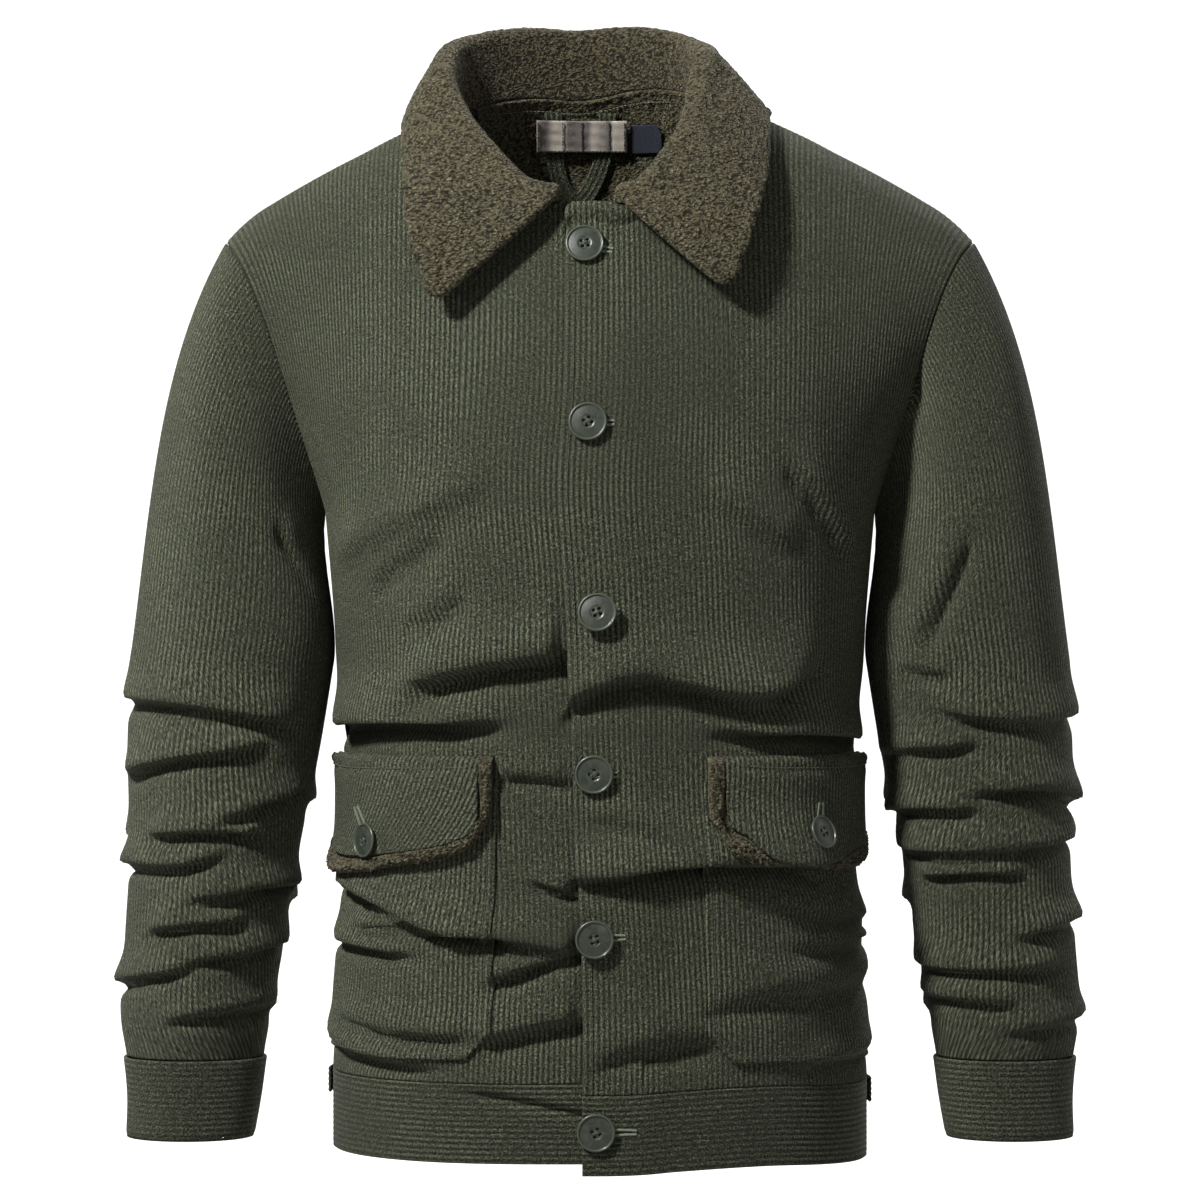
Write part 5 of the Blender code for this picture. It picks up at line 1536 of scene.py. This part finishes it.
def curls(points: Array, size: float, seed: float) -> Array:
    """Heights from 0 to 1 of pile curls of about a size, at points."""
    flat = (points.reshape(-1, 3) / size).tolist()
    heights = np.empty(len(flat))
    for k, (x, y, z) in enumerate(flat):
        bent = noise.noise_vector((0.55 * x + seed, 0.55 * y, 0.55 * z))
        spot = (x + 1.1 * bent[0], y + 1.1 * bent[1] + seed, z + 1.1 * bent[2])
        worm = 1.0 - 2.4 * abs(noise.noise(spot))
        fine = noise.noise((2.1 * x, 2.1 * y + seed, 2.1 * z))
        heights[k] = 0.72 * worm + 0.32 * fine + 0.16
    return np.clip(heights, 0.0, 1.0).reshape(points.shape[:-1])


def rounded_tips(points: Array, radius: float) -> Array:
    """A grid of points whose two corners in the last row are drawn in to a round."""
    made = points.copy()
    to_fall = lengths(points[::-1])[::-1]
    for columns in (slice(None), slice(None, None, -1)):
        view, drop = made[:, columns], to_fall[:, columns]
        from_end = lengths(view, 1)
        u, v = np.maximum(radius - drop, 0.0), np.maximum(radius - from_end, 0.0)
        both = (u > 0) & (v > 0)
        share = 1 - np.maximum(u, v) / np.maximum(np.hypot(u, v), 1e-6)
        share = np.where(both, share, 0.0)[..., None]
        along, across = unit(np.gradient(view, axis=0)), unit(np.gradient(view, axis=1))
        view += share * (across * v[..., None] - along * u[..., None])
    return made


@dataclass
class Collar:
    """The pile collar: a stand from the neck seam, a roll, and a fall down to its edge."""

    body: Body
    wall: float = 7.0
    roll: float = 8.5
    inset: float = 3.5
    tip_drop: dict[int, float] = field(default_factory=lambda: {1: 0.0, -1: 8.0})
    lift: dict[int, float] = field(default_factory=lambda: {1: 7.0, -1: 0.0})
    shift: dict[int, float] = field(default_factory=lambda: {1: -9.0, -1: 0.0})
    sink: dict[int, float] = field(default_factory=lambda: {1: 12.0, -1: 2.0})
    draw_in: dict[int, float] = field(default_factory=lambda: {1: 0.0, -1: 5.5})
    curl_height: float = 1.3
    tip_radius: float = 13.0
    frill: float = 3.0
    cut: Table = field(
        default_factory=lambda: Table(
            "turn stand edge_x edge_y edge_z",
            (11.0, 1.5, 93.0, -118.0, -100.0),
            (26.0, 6.0, 100.0, -113.0, -82.0),
            (45.0, 10.0, 110.0, -100.0, -54.0),
            (66.0, 12.0, 119.0, -72.0, -22.0),
            (90.0, 22.0, 122.0, -18.0, 15.0),
            (115.0, 37.0, 113.0, 30.0, 10.0),
            (138.0, 40.0, 84.0, 67.0, 2.0),
            (160.0, 40.0, 44.0, 87.0, -3.0),
            (180.0, 39.0, 0.0, 93.0, -5.0),
        )
    )

    def neck_seam(self, turns: Array, side: int) -> Array:
        """Points of the neck seam on the panels' edges, at turns in degrees from the centre front."""
        out = FORM.neck_around * np.sin(np.radians(turns))
        halves = []
        for name in ("front_right" if side > 0 else "front_left", "back"):
            outs, edge = self.body.tops[name]
            outs = outs * (side if name == "back" else 1)
            order = np.argsort(outs)
            axes = [np.interp(out, outs[order], edge[order, k]) for k in range(3)]
            halves.append(np.stack(axes, axis=-1))
        return np.where((turns > 90)[:, None], halves[1], halves[0])

    def face(self, turns: Array, side: int) -> Array:
        """The face that shows, from the neck seam over the roll to the edge: rows by turns."""
        seam = self.neck_seam(turns, side)
        angles = np.radians(turns)
        radial = unit(np.stack([side * np.sin(angles), -np.cos(angles), 0 * turns], -1))
        tangent = unit(np.gradient(seam, axis=0))
        sky = np.array([0.0, 0.0, 1.0])
        up = unit(sky - tangent * tangent[:, 2:3])
        base = seam - self.inset * radial + REST * up
        stand = self.cut.read("stand", turns)
        stand = (stand - self.sink[side] * ease(turns, 88, 122) * ease(turns, 180, 128))[:, None]
        top = base + stand * unit(up + 0.10 * radial)
        top[:, 0] += self.shift[side] * ease(turns, 45, 80) * ease(turns, 145, 105)
        paths = [base + share * (top - base) for share in np.linspace(0, 1, 18)]
        centre = top + self.roll * radial
        for angle in np.radians(np.linspace(180, 20, 14)[1:]):
            paths.append(centre + self.roll * (math.cos(angle) * radial + math.sin(angle) * sky))
        edge = np.stack([self.cut.read(f"edge_{axis}", turns) for axis in "xyz"], axis=-1)
        edge[:, 0] = FORM.neck_x + side * edge[:, 0]
        edge[:, 0] += self.draw_in[side] * ease(turns, 40, 72) * ease(turns, 135, 100)
        edge[:, 2] -= self.tip_drop[side] * ease(turns, 60, 11)
        edge[:, 2] += self.lift[side] * ease(turns, 55, 90) * ease(turns, 140, 100)
        begin = paths[-1]
        control = begin + 0.3 * (edge - begin) + np.array([0, 0, -6.0]) + 8 * radial
        for t in runs(0.0, 1.0, 0.0165, (0.006, 0.012))[1:]:
            paths.append((1 - t) ** 2 * begin + 2 * t * (1 - t) * control + t * t * edge)
        return np.array(paths)

    def build(self, finishes: Finishes) -> None:
        """Makes the collar, laid clear of the body that it rests on."""
        front, behind = np.linspace(12.5, 60, 86), np.linspace(60.6, 180, 116)
        turns = np.concatenate([[11.0, 11.3, 11.8], front, behind])
        left, right = self.face(turns, -1), self.face(turns, 1)
        grid = np.concatenate([left, right[:, -2::-1]], axis=1)
        hidden = grid_normals(grid)
        sign = 1 if hidden[6, grid.shape[1] // 2, 1] > 0 else -1
        hidden = hidden * sign
        run = np.zeros(grid.shape[:2])
        skin = Skin(grid, hidden, run, run)
        for panel in self.body.skins.values():
            skin = skin.laid_clear(self.wall, panel.tree(0.4), 0.5, slice(36, None), slice(None))
        skin.inward = np.concatenate([hidden[:30], grid_normals(skin.points)[30:] * sign])
        skin.points = rounded_tips(skin.points, self.tip_radius)
        nap = 0.75 * curls(skin.points, 2.8, 3.0) + 0.25 * curls(skin.points, 6.5, 11.0)
        half = self.wall / 2
        to_fall = lengths(skin.points[::-1])[::-1]
        from_end = lengths(skin.points, 1)
        from_end = np.minimum(from_end, from_end[:, -1:] - from_end)
        away = np.maximum(half - np.minimum(to_fall, from_end), 0.0)
        rolled = half - np.sqrt(np.maximum(half**2 - away**2, 0.0))
        seam = ease(np.arange(len(grid)), 0, 4)[:, None]
        top = skin.raised(self.curl_height * (nap - 0.45) * seam - rolled * 0.95)
        frill = ease(away, 0.0, half) * self.frill * (nap - 0.35) * seam
        top += unit(np.gradient(skin.points, axis=0)) * frill[..., None]
        under = skin.points + skin.inward * (self.wall - rolled * 0.9)[..., None]
        # Painted shade: the pile inside the back of the stand gets a lower nap, so its finish paints it
        # darker as if in shadow.
        behind = ease(np.concatenate([turns, turns[-2::-1]]), 100, 140)
        nap = nap * (1 - 0.75 * behind * ease(np.arange(len(grid)), 26, 10)[:, None])
        piece = dress(closed("collar", skin, top, under, (2, 2), nap), finishes.pile, "pile", "collar")


@dataclass
class NeckInside:
    """What shows inside the back neck: the pile facing, hanger loop, banded label and size tab."""

    body: Body
    facing_wall: float = 4.0
    loop_thick: float = 1.8
    loop_width: float = 12.0
    label_x: tuple[float, float] = (-42.0, 18.0)
    label_z: tuple[float, float] = (5.0, 25.0)
    tab_x: tuple[float, float] = (20.0, 41.0)
    tab_z: tuple[float, float] = (4.5, 22.5)
    slant: float = 1.2
    path: Table = field(
        default_factory=lambda: Table(
            "s x z",
            (0, -31.0, 30.5),
            (1, -30.5, 15.0),
            (2, -29.5, -3.0),
            (3, -24.5, -19.0),
            (4, -16.0, -27.0),
            (5, -8.5, -22.0),
            (6, -1.5, -9.0),
            (7, 3.0, 5.0),
            (8, 5.0, 20.0),
            (9, 5.5, 30.5),
        )
    )

    def facing(self, finishes: Finishes) -> BVHTree:
        """Makes the pile facing and returns its smooth face."""
        panel = Panel(0)
        outs = np.linspace(-77.0, 77.0, 121)
        levels = np.append(np.linspace(1.61, 1.985, 62), (1.99, 1.994, 1.997))
        points, normals = stacked(panel.row(outs, level) for level in levels)
        points -= normals * (WALL + REST + self.facing_wall)
        points[..., 2] += 3.0 * ease(levels, 1.90, 1.99)[:, None]
        flat = np.zeros(points.shape[:2])
        skin = Skin(points, normals, flat, flat)
        nap = 0.7 * curls(points, 3.4, 23.0) + 0.3 * curls(points, 6.5, 29.0)
        top = skin.raised(1.8 * (nap - 0.5))
        under = points + normals * self.facing_wall
        made = closed("neck_facing", skin, top, under, (4, 4), nap)
        piece = dress(made, finishes.pile, "pile", "neck_facing")
        row = 58
        line = skin.raised(np.full(flat.shape, 0.9))[row, 8:-8], -skin.inward[row, 8:-8]
        dress(stitches("neck_seam_stitches", [line], 1.9, 2.8), finishes.seam, "corduroy")
        return skin.tree()

    def strip(self, tree: BVHTree, spots: Array, lift: float) -> Skin:
        """A flat strip on the facing, from the x and z of its points."""
        points = np.empty((*spots.shape[:2], 3))
        for i, j in np.ndindex(spots.shape[:2]):
            x, z = spots[i, j]
            hit = tree.ray_cast(Vector((x * MM, 0.0, z * MM)), Vector((0.0, 1.0, 0.0)))[0]
            points[i, j] = (x, (hit[1] / MM if hit else points[i, j - 1, 1]) - lift, z)
        points[..., 1] = softened(points[..., 1], 2)
        inward = np.broadcast_to(np.array([0.0, 1.0, 0.0]), points.shape)
        return Skin(points, inward, spots[..., 0] / PITCH, spots[..., 1] / PITCH)

    def build(self, finishes: Finishes) -> None:
        """Makes the facing and what is sewn on it."""
        tree = self.facing(finishes)
        s = np.linspace(0, 9, 90)
        path = np.stack([self.path.read("x", s), self.path.read("z", s)], -1)
        along = unit(np.gradient(path, axis=0))
        across = np.stack([along[:, 1], -along[:, 0]], axis=-1)
        shares = np.linspace(-0.5, 0.5, 18)
        spots = path[:, None, :] + across[:, None, :] * shares[None, :, None] * self.loop_width
        skin = self.strip(tree, spots, (REST + self.loop_thick) * self.slant + 0.5)
        skin.rib = np.broadcast_to(shares * self.loop_width / PITCH + 0.2, skin.rib.shape)
        skin.run = np.broadcast_to((s * 4.6)[:, None], skin.run.shape)
        made = Cord().piece("hanger_loop", skin, steps=(3, 3), wall=self.loop_thick)
        piece = dress(made, finishes.cord, "corduroy", "hanger_loop")
        label_lift = (4 * REST + self.loop_thick + 0.8) * self.slant + 0.8
        tab_lift = (REST + 0.8) * self.slant + 1.0
        label, tab = (self.label_x, self.label_z), (self.tab_x, self.tab_z)
        self.flat_piece(tree, "neck_label", label, label_lift, finishes.label, "label_satin")
        self.flat_piece(tree, "size_tab", tab, tab_lift, finishes.navy, "tab_woven")
        self.label_stitches(tree, label_lift + 0.15, finishes)

    def flat_piece(
        self,
        tree: BVHTree,
        name: str,
        place_on: tuple[tuple[float, float], tuple[float, float]],
        lift: float,
        finish: bpy.types.Material,
        slot: str,
    ) -> None:
        """Makes a label or tab, the label softly puckered where it is sewn."""
        xs, zs = place_on
        u, v = np.meshgrid(np.linspace(0, 1, 61), np.linspace(0, 1, 25))
        spots = np.stack([xs[0] + u * (xs[1] - xs[0]), zs[0] + v * (zs[1] - zs[0])], -1)
        if name == "size_tab":
            corner = np.maximum(u - 0.86, 0) * np.maximum(v - 0.75, 0) / 0.035
            spots[..., 0] -= 3.0 * corner
            spots[..., 1] -= 3.0 * corner
        skin = self.strip(tree, spots, lift)
        skin.rib, skin.run = u, v
        pucker = 0.35 * np.sin(u * 6 * 2 * math.pi + 1.0) * np.sin(v * math.pi) ** 0.5
        pucker = (pucker + 0.25 * np.sin(v * 2 * math.pi * 3 + 4 * u)) * (name == "neck_label")
        edge = 0.35 * ease(skin.from_edge(), 1.0, 0.0)
        under = skin.points + skin.inward * 0.6
        made = closed(name, skin, skin.raised(pucker * 0.8 + 0.2 - edge), under, (4, 6))
        piece = dress(made, finish, slot, name)

    def label_stitches(self, tree: BVHTree, lift: float, finishes: Finishes) -> None:
        """Makes the upright rows of dark stitches that divide the label."""
        lines = []
        left, right = self.label_x
        for share in (0.015, 0.29, 0.50, 0.80, 0.97):
            zs = np.linspace(self.label_z[0] + 1, self.label_z[1] - 1, 24)
            spots = np.stack([np.full_like(zs, left + share * (right - left)), zs], -1)
            skin = self.strip(tree, spots[:, None].repeat(2, axis=1), lift + 0.9)
            lines.append((skin.points[:, 0], -skin.inward[:, 0]))
        xs = np.linspace(left + 1, right - 1, 50)
        spots = np.stack([xs, np.full_like(xs, self.label_z[0] + 0.7)], -1)
        skin = self.strip(tree, spots[None].repeat(2, axis=0), lift + 0.6)
        lines.append((skin.points[0], -skin.inward[0]))
        dress(stitches("neck_label_stitches", lines, 1.9, 2.5, 0.42), finishes.black, "label_satin")


@dataclass
class HemTabs:
    """Short tabs on the hem band behind each side seam."""

    cord: Cord
    drops: tuple[float, float] = (17.5, 1.0)

    def build(self, finishes: Finishes) -> None:
        """Makes both tabs."""
        panel = Panel(0)
        drops = np.append(np.arange(self.drops[0], self.drops[1], -self.cord.pitch / 5), self.drops[1])
        for side in Side:
            outs = np.sort(side.value * runs(182.0, FORM.quarters[1] - SEAM, 3.0))
            points, normals = stacked(panel.row(outs, 0.0, drop) for drop in drops)
            points += normals * (2 * REST + WALL + 0.3)
            rib = np.broadcast_to(drops[:, None] / self.cord.pitch, points.shape[:2])
            run = np.broadcast_to(outs / self.cord.pitch, points.shape[:2])
            name = f"hem_tab_{side.word}"
            made = self.cord.piece(name, Skin(points, -normals, rib, run), (5, 2), wall=2.0)
            piece = dress(made, finishes.band, "corduroy_band", name)


@dataclass
class Buttons:
    """Four-hole buttons with a raised rim, their thread, and the buttonholes that they pass through."""

    body: Body
    hem: HemBand
    pockets: Pockets
    front: dict[int, tuple[float, float, float, float]] = field(
        default_factory=lambda: {
            1: (-9.5, -69.5, 17.5, -0.18),
            2: (-7.5, -182.0, 16.5, 0.0),
            3: (-1.5, -301.0, 14.0, 0.12),
            4: (-3.7, -401.0, 14.5, 0.0),
            5: (-3.7, -503.0, 19.5, 0.05),
            6: (-2.5, -623.5, 25.0, 0.0),
        }
    )
    pocket: dict[Side, tuple[float, float, float, float]] = field(
        default_factory=lambda: {
            Side.LEFT: (-146.5, -444.5, 23.0, 1.95),
            Side.RIGHT: (138.0, -439.0, 19.0, 1.50),
        }
    )
    size: float = 12.0
    hole_at: float = 1.75

    def seat(self, node: str) -> tuple[Matrix, float]:
        """Where a node's button is seated, facing away from the jacket, and its radius."""
        mesh = bpy.data.objects[node].data
        points = np.array([vertex.co for vertex in mesh.vertices])
        centre = (points.min(axis=0) + points.max(axis=0)) / 2
        spread = points - points.mean(axis=0)
        _, axes = np.linalg.eigh(spread.T @ spread)
        axis = axes[:, 0] * (1 if axes[:, 0] @ (centre * (1, 1, 0)) > 0 else -1)
        heights = (points - centre) @ axis
        flat = (points - centre) - heights[:, None] * axis
        radius = float(np.linalg.norm(flat, axis=1).max())
        back = centre + axis * heights.min()
        turn = Vector(axis).to_track_quat("Z", "Y").to_matrix().to_4x4()
        return Matrix.Translation(Vector(back)) @ turn, radius / MM

    def disc(self, name: str, half: float, spin: float) -> bpy.types.Mesh:
        """A button's mesh with its back on z = 0."""
        scale = half / self.size
        under = [(0.0, 0.0), (8.2, 0.0), (8.9, 0.15), (10.2, 0.9), (11.4, 1.9), (11.9, 2.6)]
        rim = [(12.0, 3.0), (11.95, 3.4), (11.75, 3.8), (11.4, 4.1)]
        rim += [(11.0, 4.15), (10.65, 3.95), (10.4, 3.5), (10.25, 3.1)]
        rings = under + rim
        dome = [10.1, 9.9, 9.4, 8.6, 7.6, 6.6, 5.6, 4.8, *np.arange(4.2, 1.0, -0.17), 0.8, 0.45]
        rings += [(r, 3.0 + 0.8 * (1 - (r / 10.2) ** 2)) for r in dome]
        turn = np.linspace(0, 2 * math.pi, 72, endpoint=False)
        vertices, marks = [], []
        for k, (r, z) in enumerate(rings):
            x, y = r * np.cos(turn), r * np.sin(turn)
            height = np.full(len(turn), z)
            # mark is 1 on the rim, for its painted highlight, and falls to 0 in the holes, for their
            # painted shade.
            mark = np.full(len(turn), 0.5 + 0.5 * float(6 <= k <= 12))
            if k >= len(under) + len(rim):
                near = np.hypot(np.abs(x) - self.hole_at, np.abs(y) - self.hole_at)
                hole = ease(near, 1.08, 0.82)
                height = z - hole * (z - 0.8) - 0.35 * ease(np.hypot(x, y), 4.4, 3.6)
                mark = 0.5 - 0.5 * hole
            vertices.append(np.stack([x, y, height], -1) * scale)
            marks.append(mark)
        points = np.concatenate(vertices)
        faces = []
        count = len(turn)
        for k in range(1, len(rings) - 1):
            for j in range(count):
                a, b = k * count + j, k * count + (j + 1) % count
                faces.append([a, b, b + count, a + count])
        faces.append([count + j for j in reversed(range(count))])
        faces.append([(len(rings) - 1) * count + j for j in range(count)])
        faces = [[index - count for index in face] for face in faces]
        turned = np.array(Matrix.Rotation(-spin, 3, "Z"))
        mesh = bpy.data.meshes.new(name)
        mesh.from_pydata((points[count:] @ turned * MM).tolist(), [], faces)
        mesh.shade_smooth()
        heights = np.concatenate(marks)[count:].astype(np.float32)
        mesh.attributes.new("nap", "FLOAT", "POINT").data.foreach_set("value", heights)
        return mesh

    def button(self, node: str, spin: float, finishes: Finishes) -> None:
        """Makes one button on its node's seat, with a cross of thread through its holes."""
        seat, half = self.seat(node)
        made = place(node, self.disc(node, half, spin))
        made.data.transform(seat)
        dress(made, finishes.horn, "button", node)
        paths = []
        for a, b in ((1, 1), (1, -1)):
            for offset in (-0.22, 0.22):
                share = np.linspace(-1, 1, 7)[:, None]
                line = share * self.hole_at * np.array([a, b, 0]) + offset * np.array([-b, a, 0])
                line = line + np.array([0, 0, 1.0]) * (3.75 + 0.25 * b - 1.6 * share**6)
                turned = Matrix.Rotation(-spin, 3, "Z")
                paths.append(np.array([turned @ Vector(point * half / self.size) for point in line]))
        thread = tubes(f"{node}_thread", paths, 0.24)
        thread.data.transform(seat)
        dress(thread, finishes.olive, "button")

    def slit(
        self, name: str, tree: BVHTree, sizes: tuple[float, float, float, float], finishes: Finishes
    ) -> None:
        """Makes a worked buttonhole from under a button's centre outwards.

        Args:
            name: the piece's name.
            tree: the cloth that it is cut in.
            sizes: x and z of the button, the slit's reach from there, and its direction.
            finishes: the materials.
        """
        x, z, reach, turn = sizes
        way = np.array([math.cos(turn), math.sin(turn)])
        side = np.array([-way[1], way[0]])
        paths = []
        for at in np.arange(-3.0, reach, 0.62):
            open_by = 0.35 + 0.45 * math.sin(math.pi * max(0.0, at) / reach)
            for sign in (-1, 1):
                line = []
                for beside, raised in ((0.0, 0.1), (0.55, 0.75), (1.1, 0.7), (1.6, 0.1)):
                    u, v = np.array([x, z]) + way * at + side * sign * (open_by + beside)
                    hit = tree.ray_cast(Vector((u * MM, -0.4, v * MM)), Vector((0, 1, 0)))[0]
                    if hit is not None:
                        line.append(np.array(hit) / MM - (0, raised, 0))
                if len(line) == 4:
                    paths.append(np.array(line))
        dress(tubes(name, paths, 0.27, 5), finishes.pale, "button")

    def build(self, finishes: Finishes) -> None:
        """Makes all buttons and buttonholes."""
        front = self.body.skins["front_right"].tree()
        hem = self.hem.skins["hem_front_right"].tree()
        spins = (0.15, 0.6, 0.3, 0.75, 0.2, 0.5)
        for number, sizes in self.front.items():
            self.button(f"button_front_{number}", spins[number - 1], finishes)
            self.slit(f"buttonhole_front_{number}", hem if number == 6 else front, sizes, finishes)
        for side, sizes in self.pocket.items():
            self.button(f"button_pocket_{side.word}", 0.4, finishes)
            tree = self.pockets.skins[f"flap_{side.word}"].tree()
            self.slit(f"buttonhole_pocket_{side.word}", tree, sizes, finishes)
            self.button(f"button_tab_{side.word}", 0.7, finishes)


@dataclass
class Studio:
    """The camera at the photograph's angle, the lights, and a sweep that glows behind the jacket."""

    distance: float = 3.0
    width: float = 0.78
    centre_z: float = -0.2925
    sweep_z: float = -0.80

    def light(self, name: str, at: tuple[float, float, float], size: float, power: float) -> None:
        """Adds a square soft light aimed at the chest."""
        data = bpy.data.lights.new(name, "AREA")
        data.size = size
        data.energy = power
        lamp = bpy.data.objects.new(name, data)
        lamp.location = at
        way = Vector((0, 0, self.centre_z)) - Vector(at)
        lamp.rotation_euler = way.to_track_quat("-Z", "Y").to_euler()
        bpy.context.scene.collection.objects.link(lamp)

    def build(self) -> None:
        """Sets up the camera, lights, world and sweep."""
        scene = bpy.context.scene
        data = bpy.data.cameras.new("camera")
        data.sensor_width = 36.0
        data.lens = 36.0 * self.distance / self.width
        camera = bpy.data.objects.new("camera", data)
        camera.location = (0.0, -self.distance, self.centre_z)
        camera.rotation_euler = (math.pi / 2, 0.0, 0.0)
        scene.collection.objects.link(camera)
        scene.camera = camera
        self.light("key", (-1.30, -1.50, 1.30), 0.30, 112.0)
        self.light("fill", (1.1, -2.7, 0.2), 1.2, 7.0)
        self.light("rear", (1.2, 2.2, 1.6), 0.8, 60.0)
        scene.view_settings.view_transform = "Standard"
        world = scene.world or bpy.data.worlds.new("world")
        scene.world = world
        world.use_nodes = True
        background = world.node_tree.nodes["Background"]
        background.inputs["Color"].default_value = (1.0, 1.0, 1.0, 1.0)
        background.inputs["Strength"].default_value = 0.08
        self.sweep()

    def sweep(self) -> None:
        """Adds the pale sweep: a floor that curves up to a wall, round the jacket on all sides."""
        flat, curve, high, sides = 6.5, 3.0, 10.5, 96
        profile = [(0.0, 0.0), (flat, 0.0)]
        for a in np.linspace(0, math.pi / 2, 12)[1:]:
            profile.append((flat + curve * math.sin(a), curve * (1 - math.cos(a))))
        profile.append((flat + curve, high))
        turn = np.linspace(0, 2 * math.pi, sides, endpoint=False)
        vertices = [(0.0, 0.0, self.sweep_z)]
        for r, z in profile[1:]:
            vertices += [(r * math.cos(a), r * math.sin(a), self.sweep_z + z) for a in turn]
        faces = [[0, 1 + j, 1 + (j + 1) % sides] for j in range(sides)]
        for k in range(len(profile) - 2):
            for j in range(sides):
                a, b = 1 + k * sides + j, 1 + k * sides + (j + 1) % sides
                faces.append([a, a + sides, b + sides, b])
        mesh = bpy.data.meshes.new("sweep")
        mesh.from_pydata(vertices, [], faces)
        mesh.shade_smooth()
        made = place("sweep", mesh)
        shade = Shader("sweep", 0.9)
        shade.colour((0.24, 0.24, 0.24))
        split = shade.node("SeparateXYZ", {0: shade.place_3d()})
        glow = {
            "Value": split.outputs[1],
            "From Min": 0.1,
            "From Max": 1.0,
            "To Min": 0.05,
            "To Max": 1.05,
        }
        shade.feed(shade.principled.inputs["Emission Color"], (1.0, 1.0, 1.0))
        strength = shade.node("MapRange", glow, interpolation_type="SMOOTHSTEP").outputs[0]
        shade.feed(shade.principled.inputs["Emission Strength"], strength)
        made.data.materials.append(shade.material)


def main() -> None:
    """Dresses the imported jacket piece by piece."""
    logging.basicConfig(level=logging.INFO, format="%(message)s")
    # noise_vector, which bends the pile's curls, starts from the clock where it has no seed
    noise.seed_set(SEED)
    for old in list(bpy.data.objects):
        bpy.data.objects.remove(old)
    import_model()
    finishes = Finishes()
    cord = Cord()
    body = Body(cord)
    body.build(finishes)
    hem = HemBand(cord)
    hem.build(finishes)
    Sleeves(cord).build(finishes)
    pockets = Pockets(cord)
    pockets.build(finishes)
    Collar(body).build(finishes)
    NeckInside(body).build(finishes)
    HemTabs(cord).build(finishes)
    Buttons(body, hem, pockets).build(finishes)
    Studio().build()


if __name__ == "__main__":
    main()
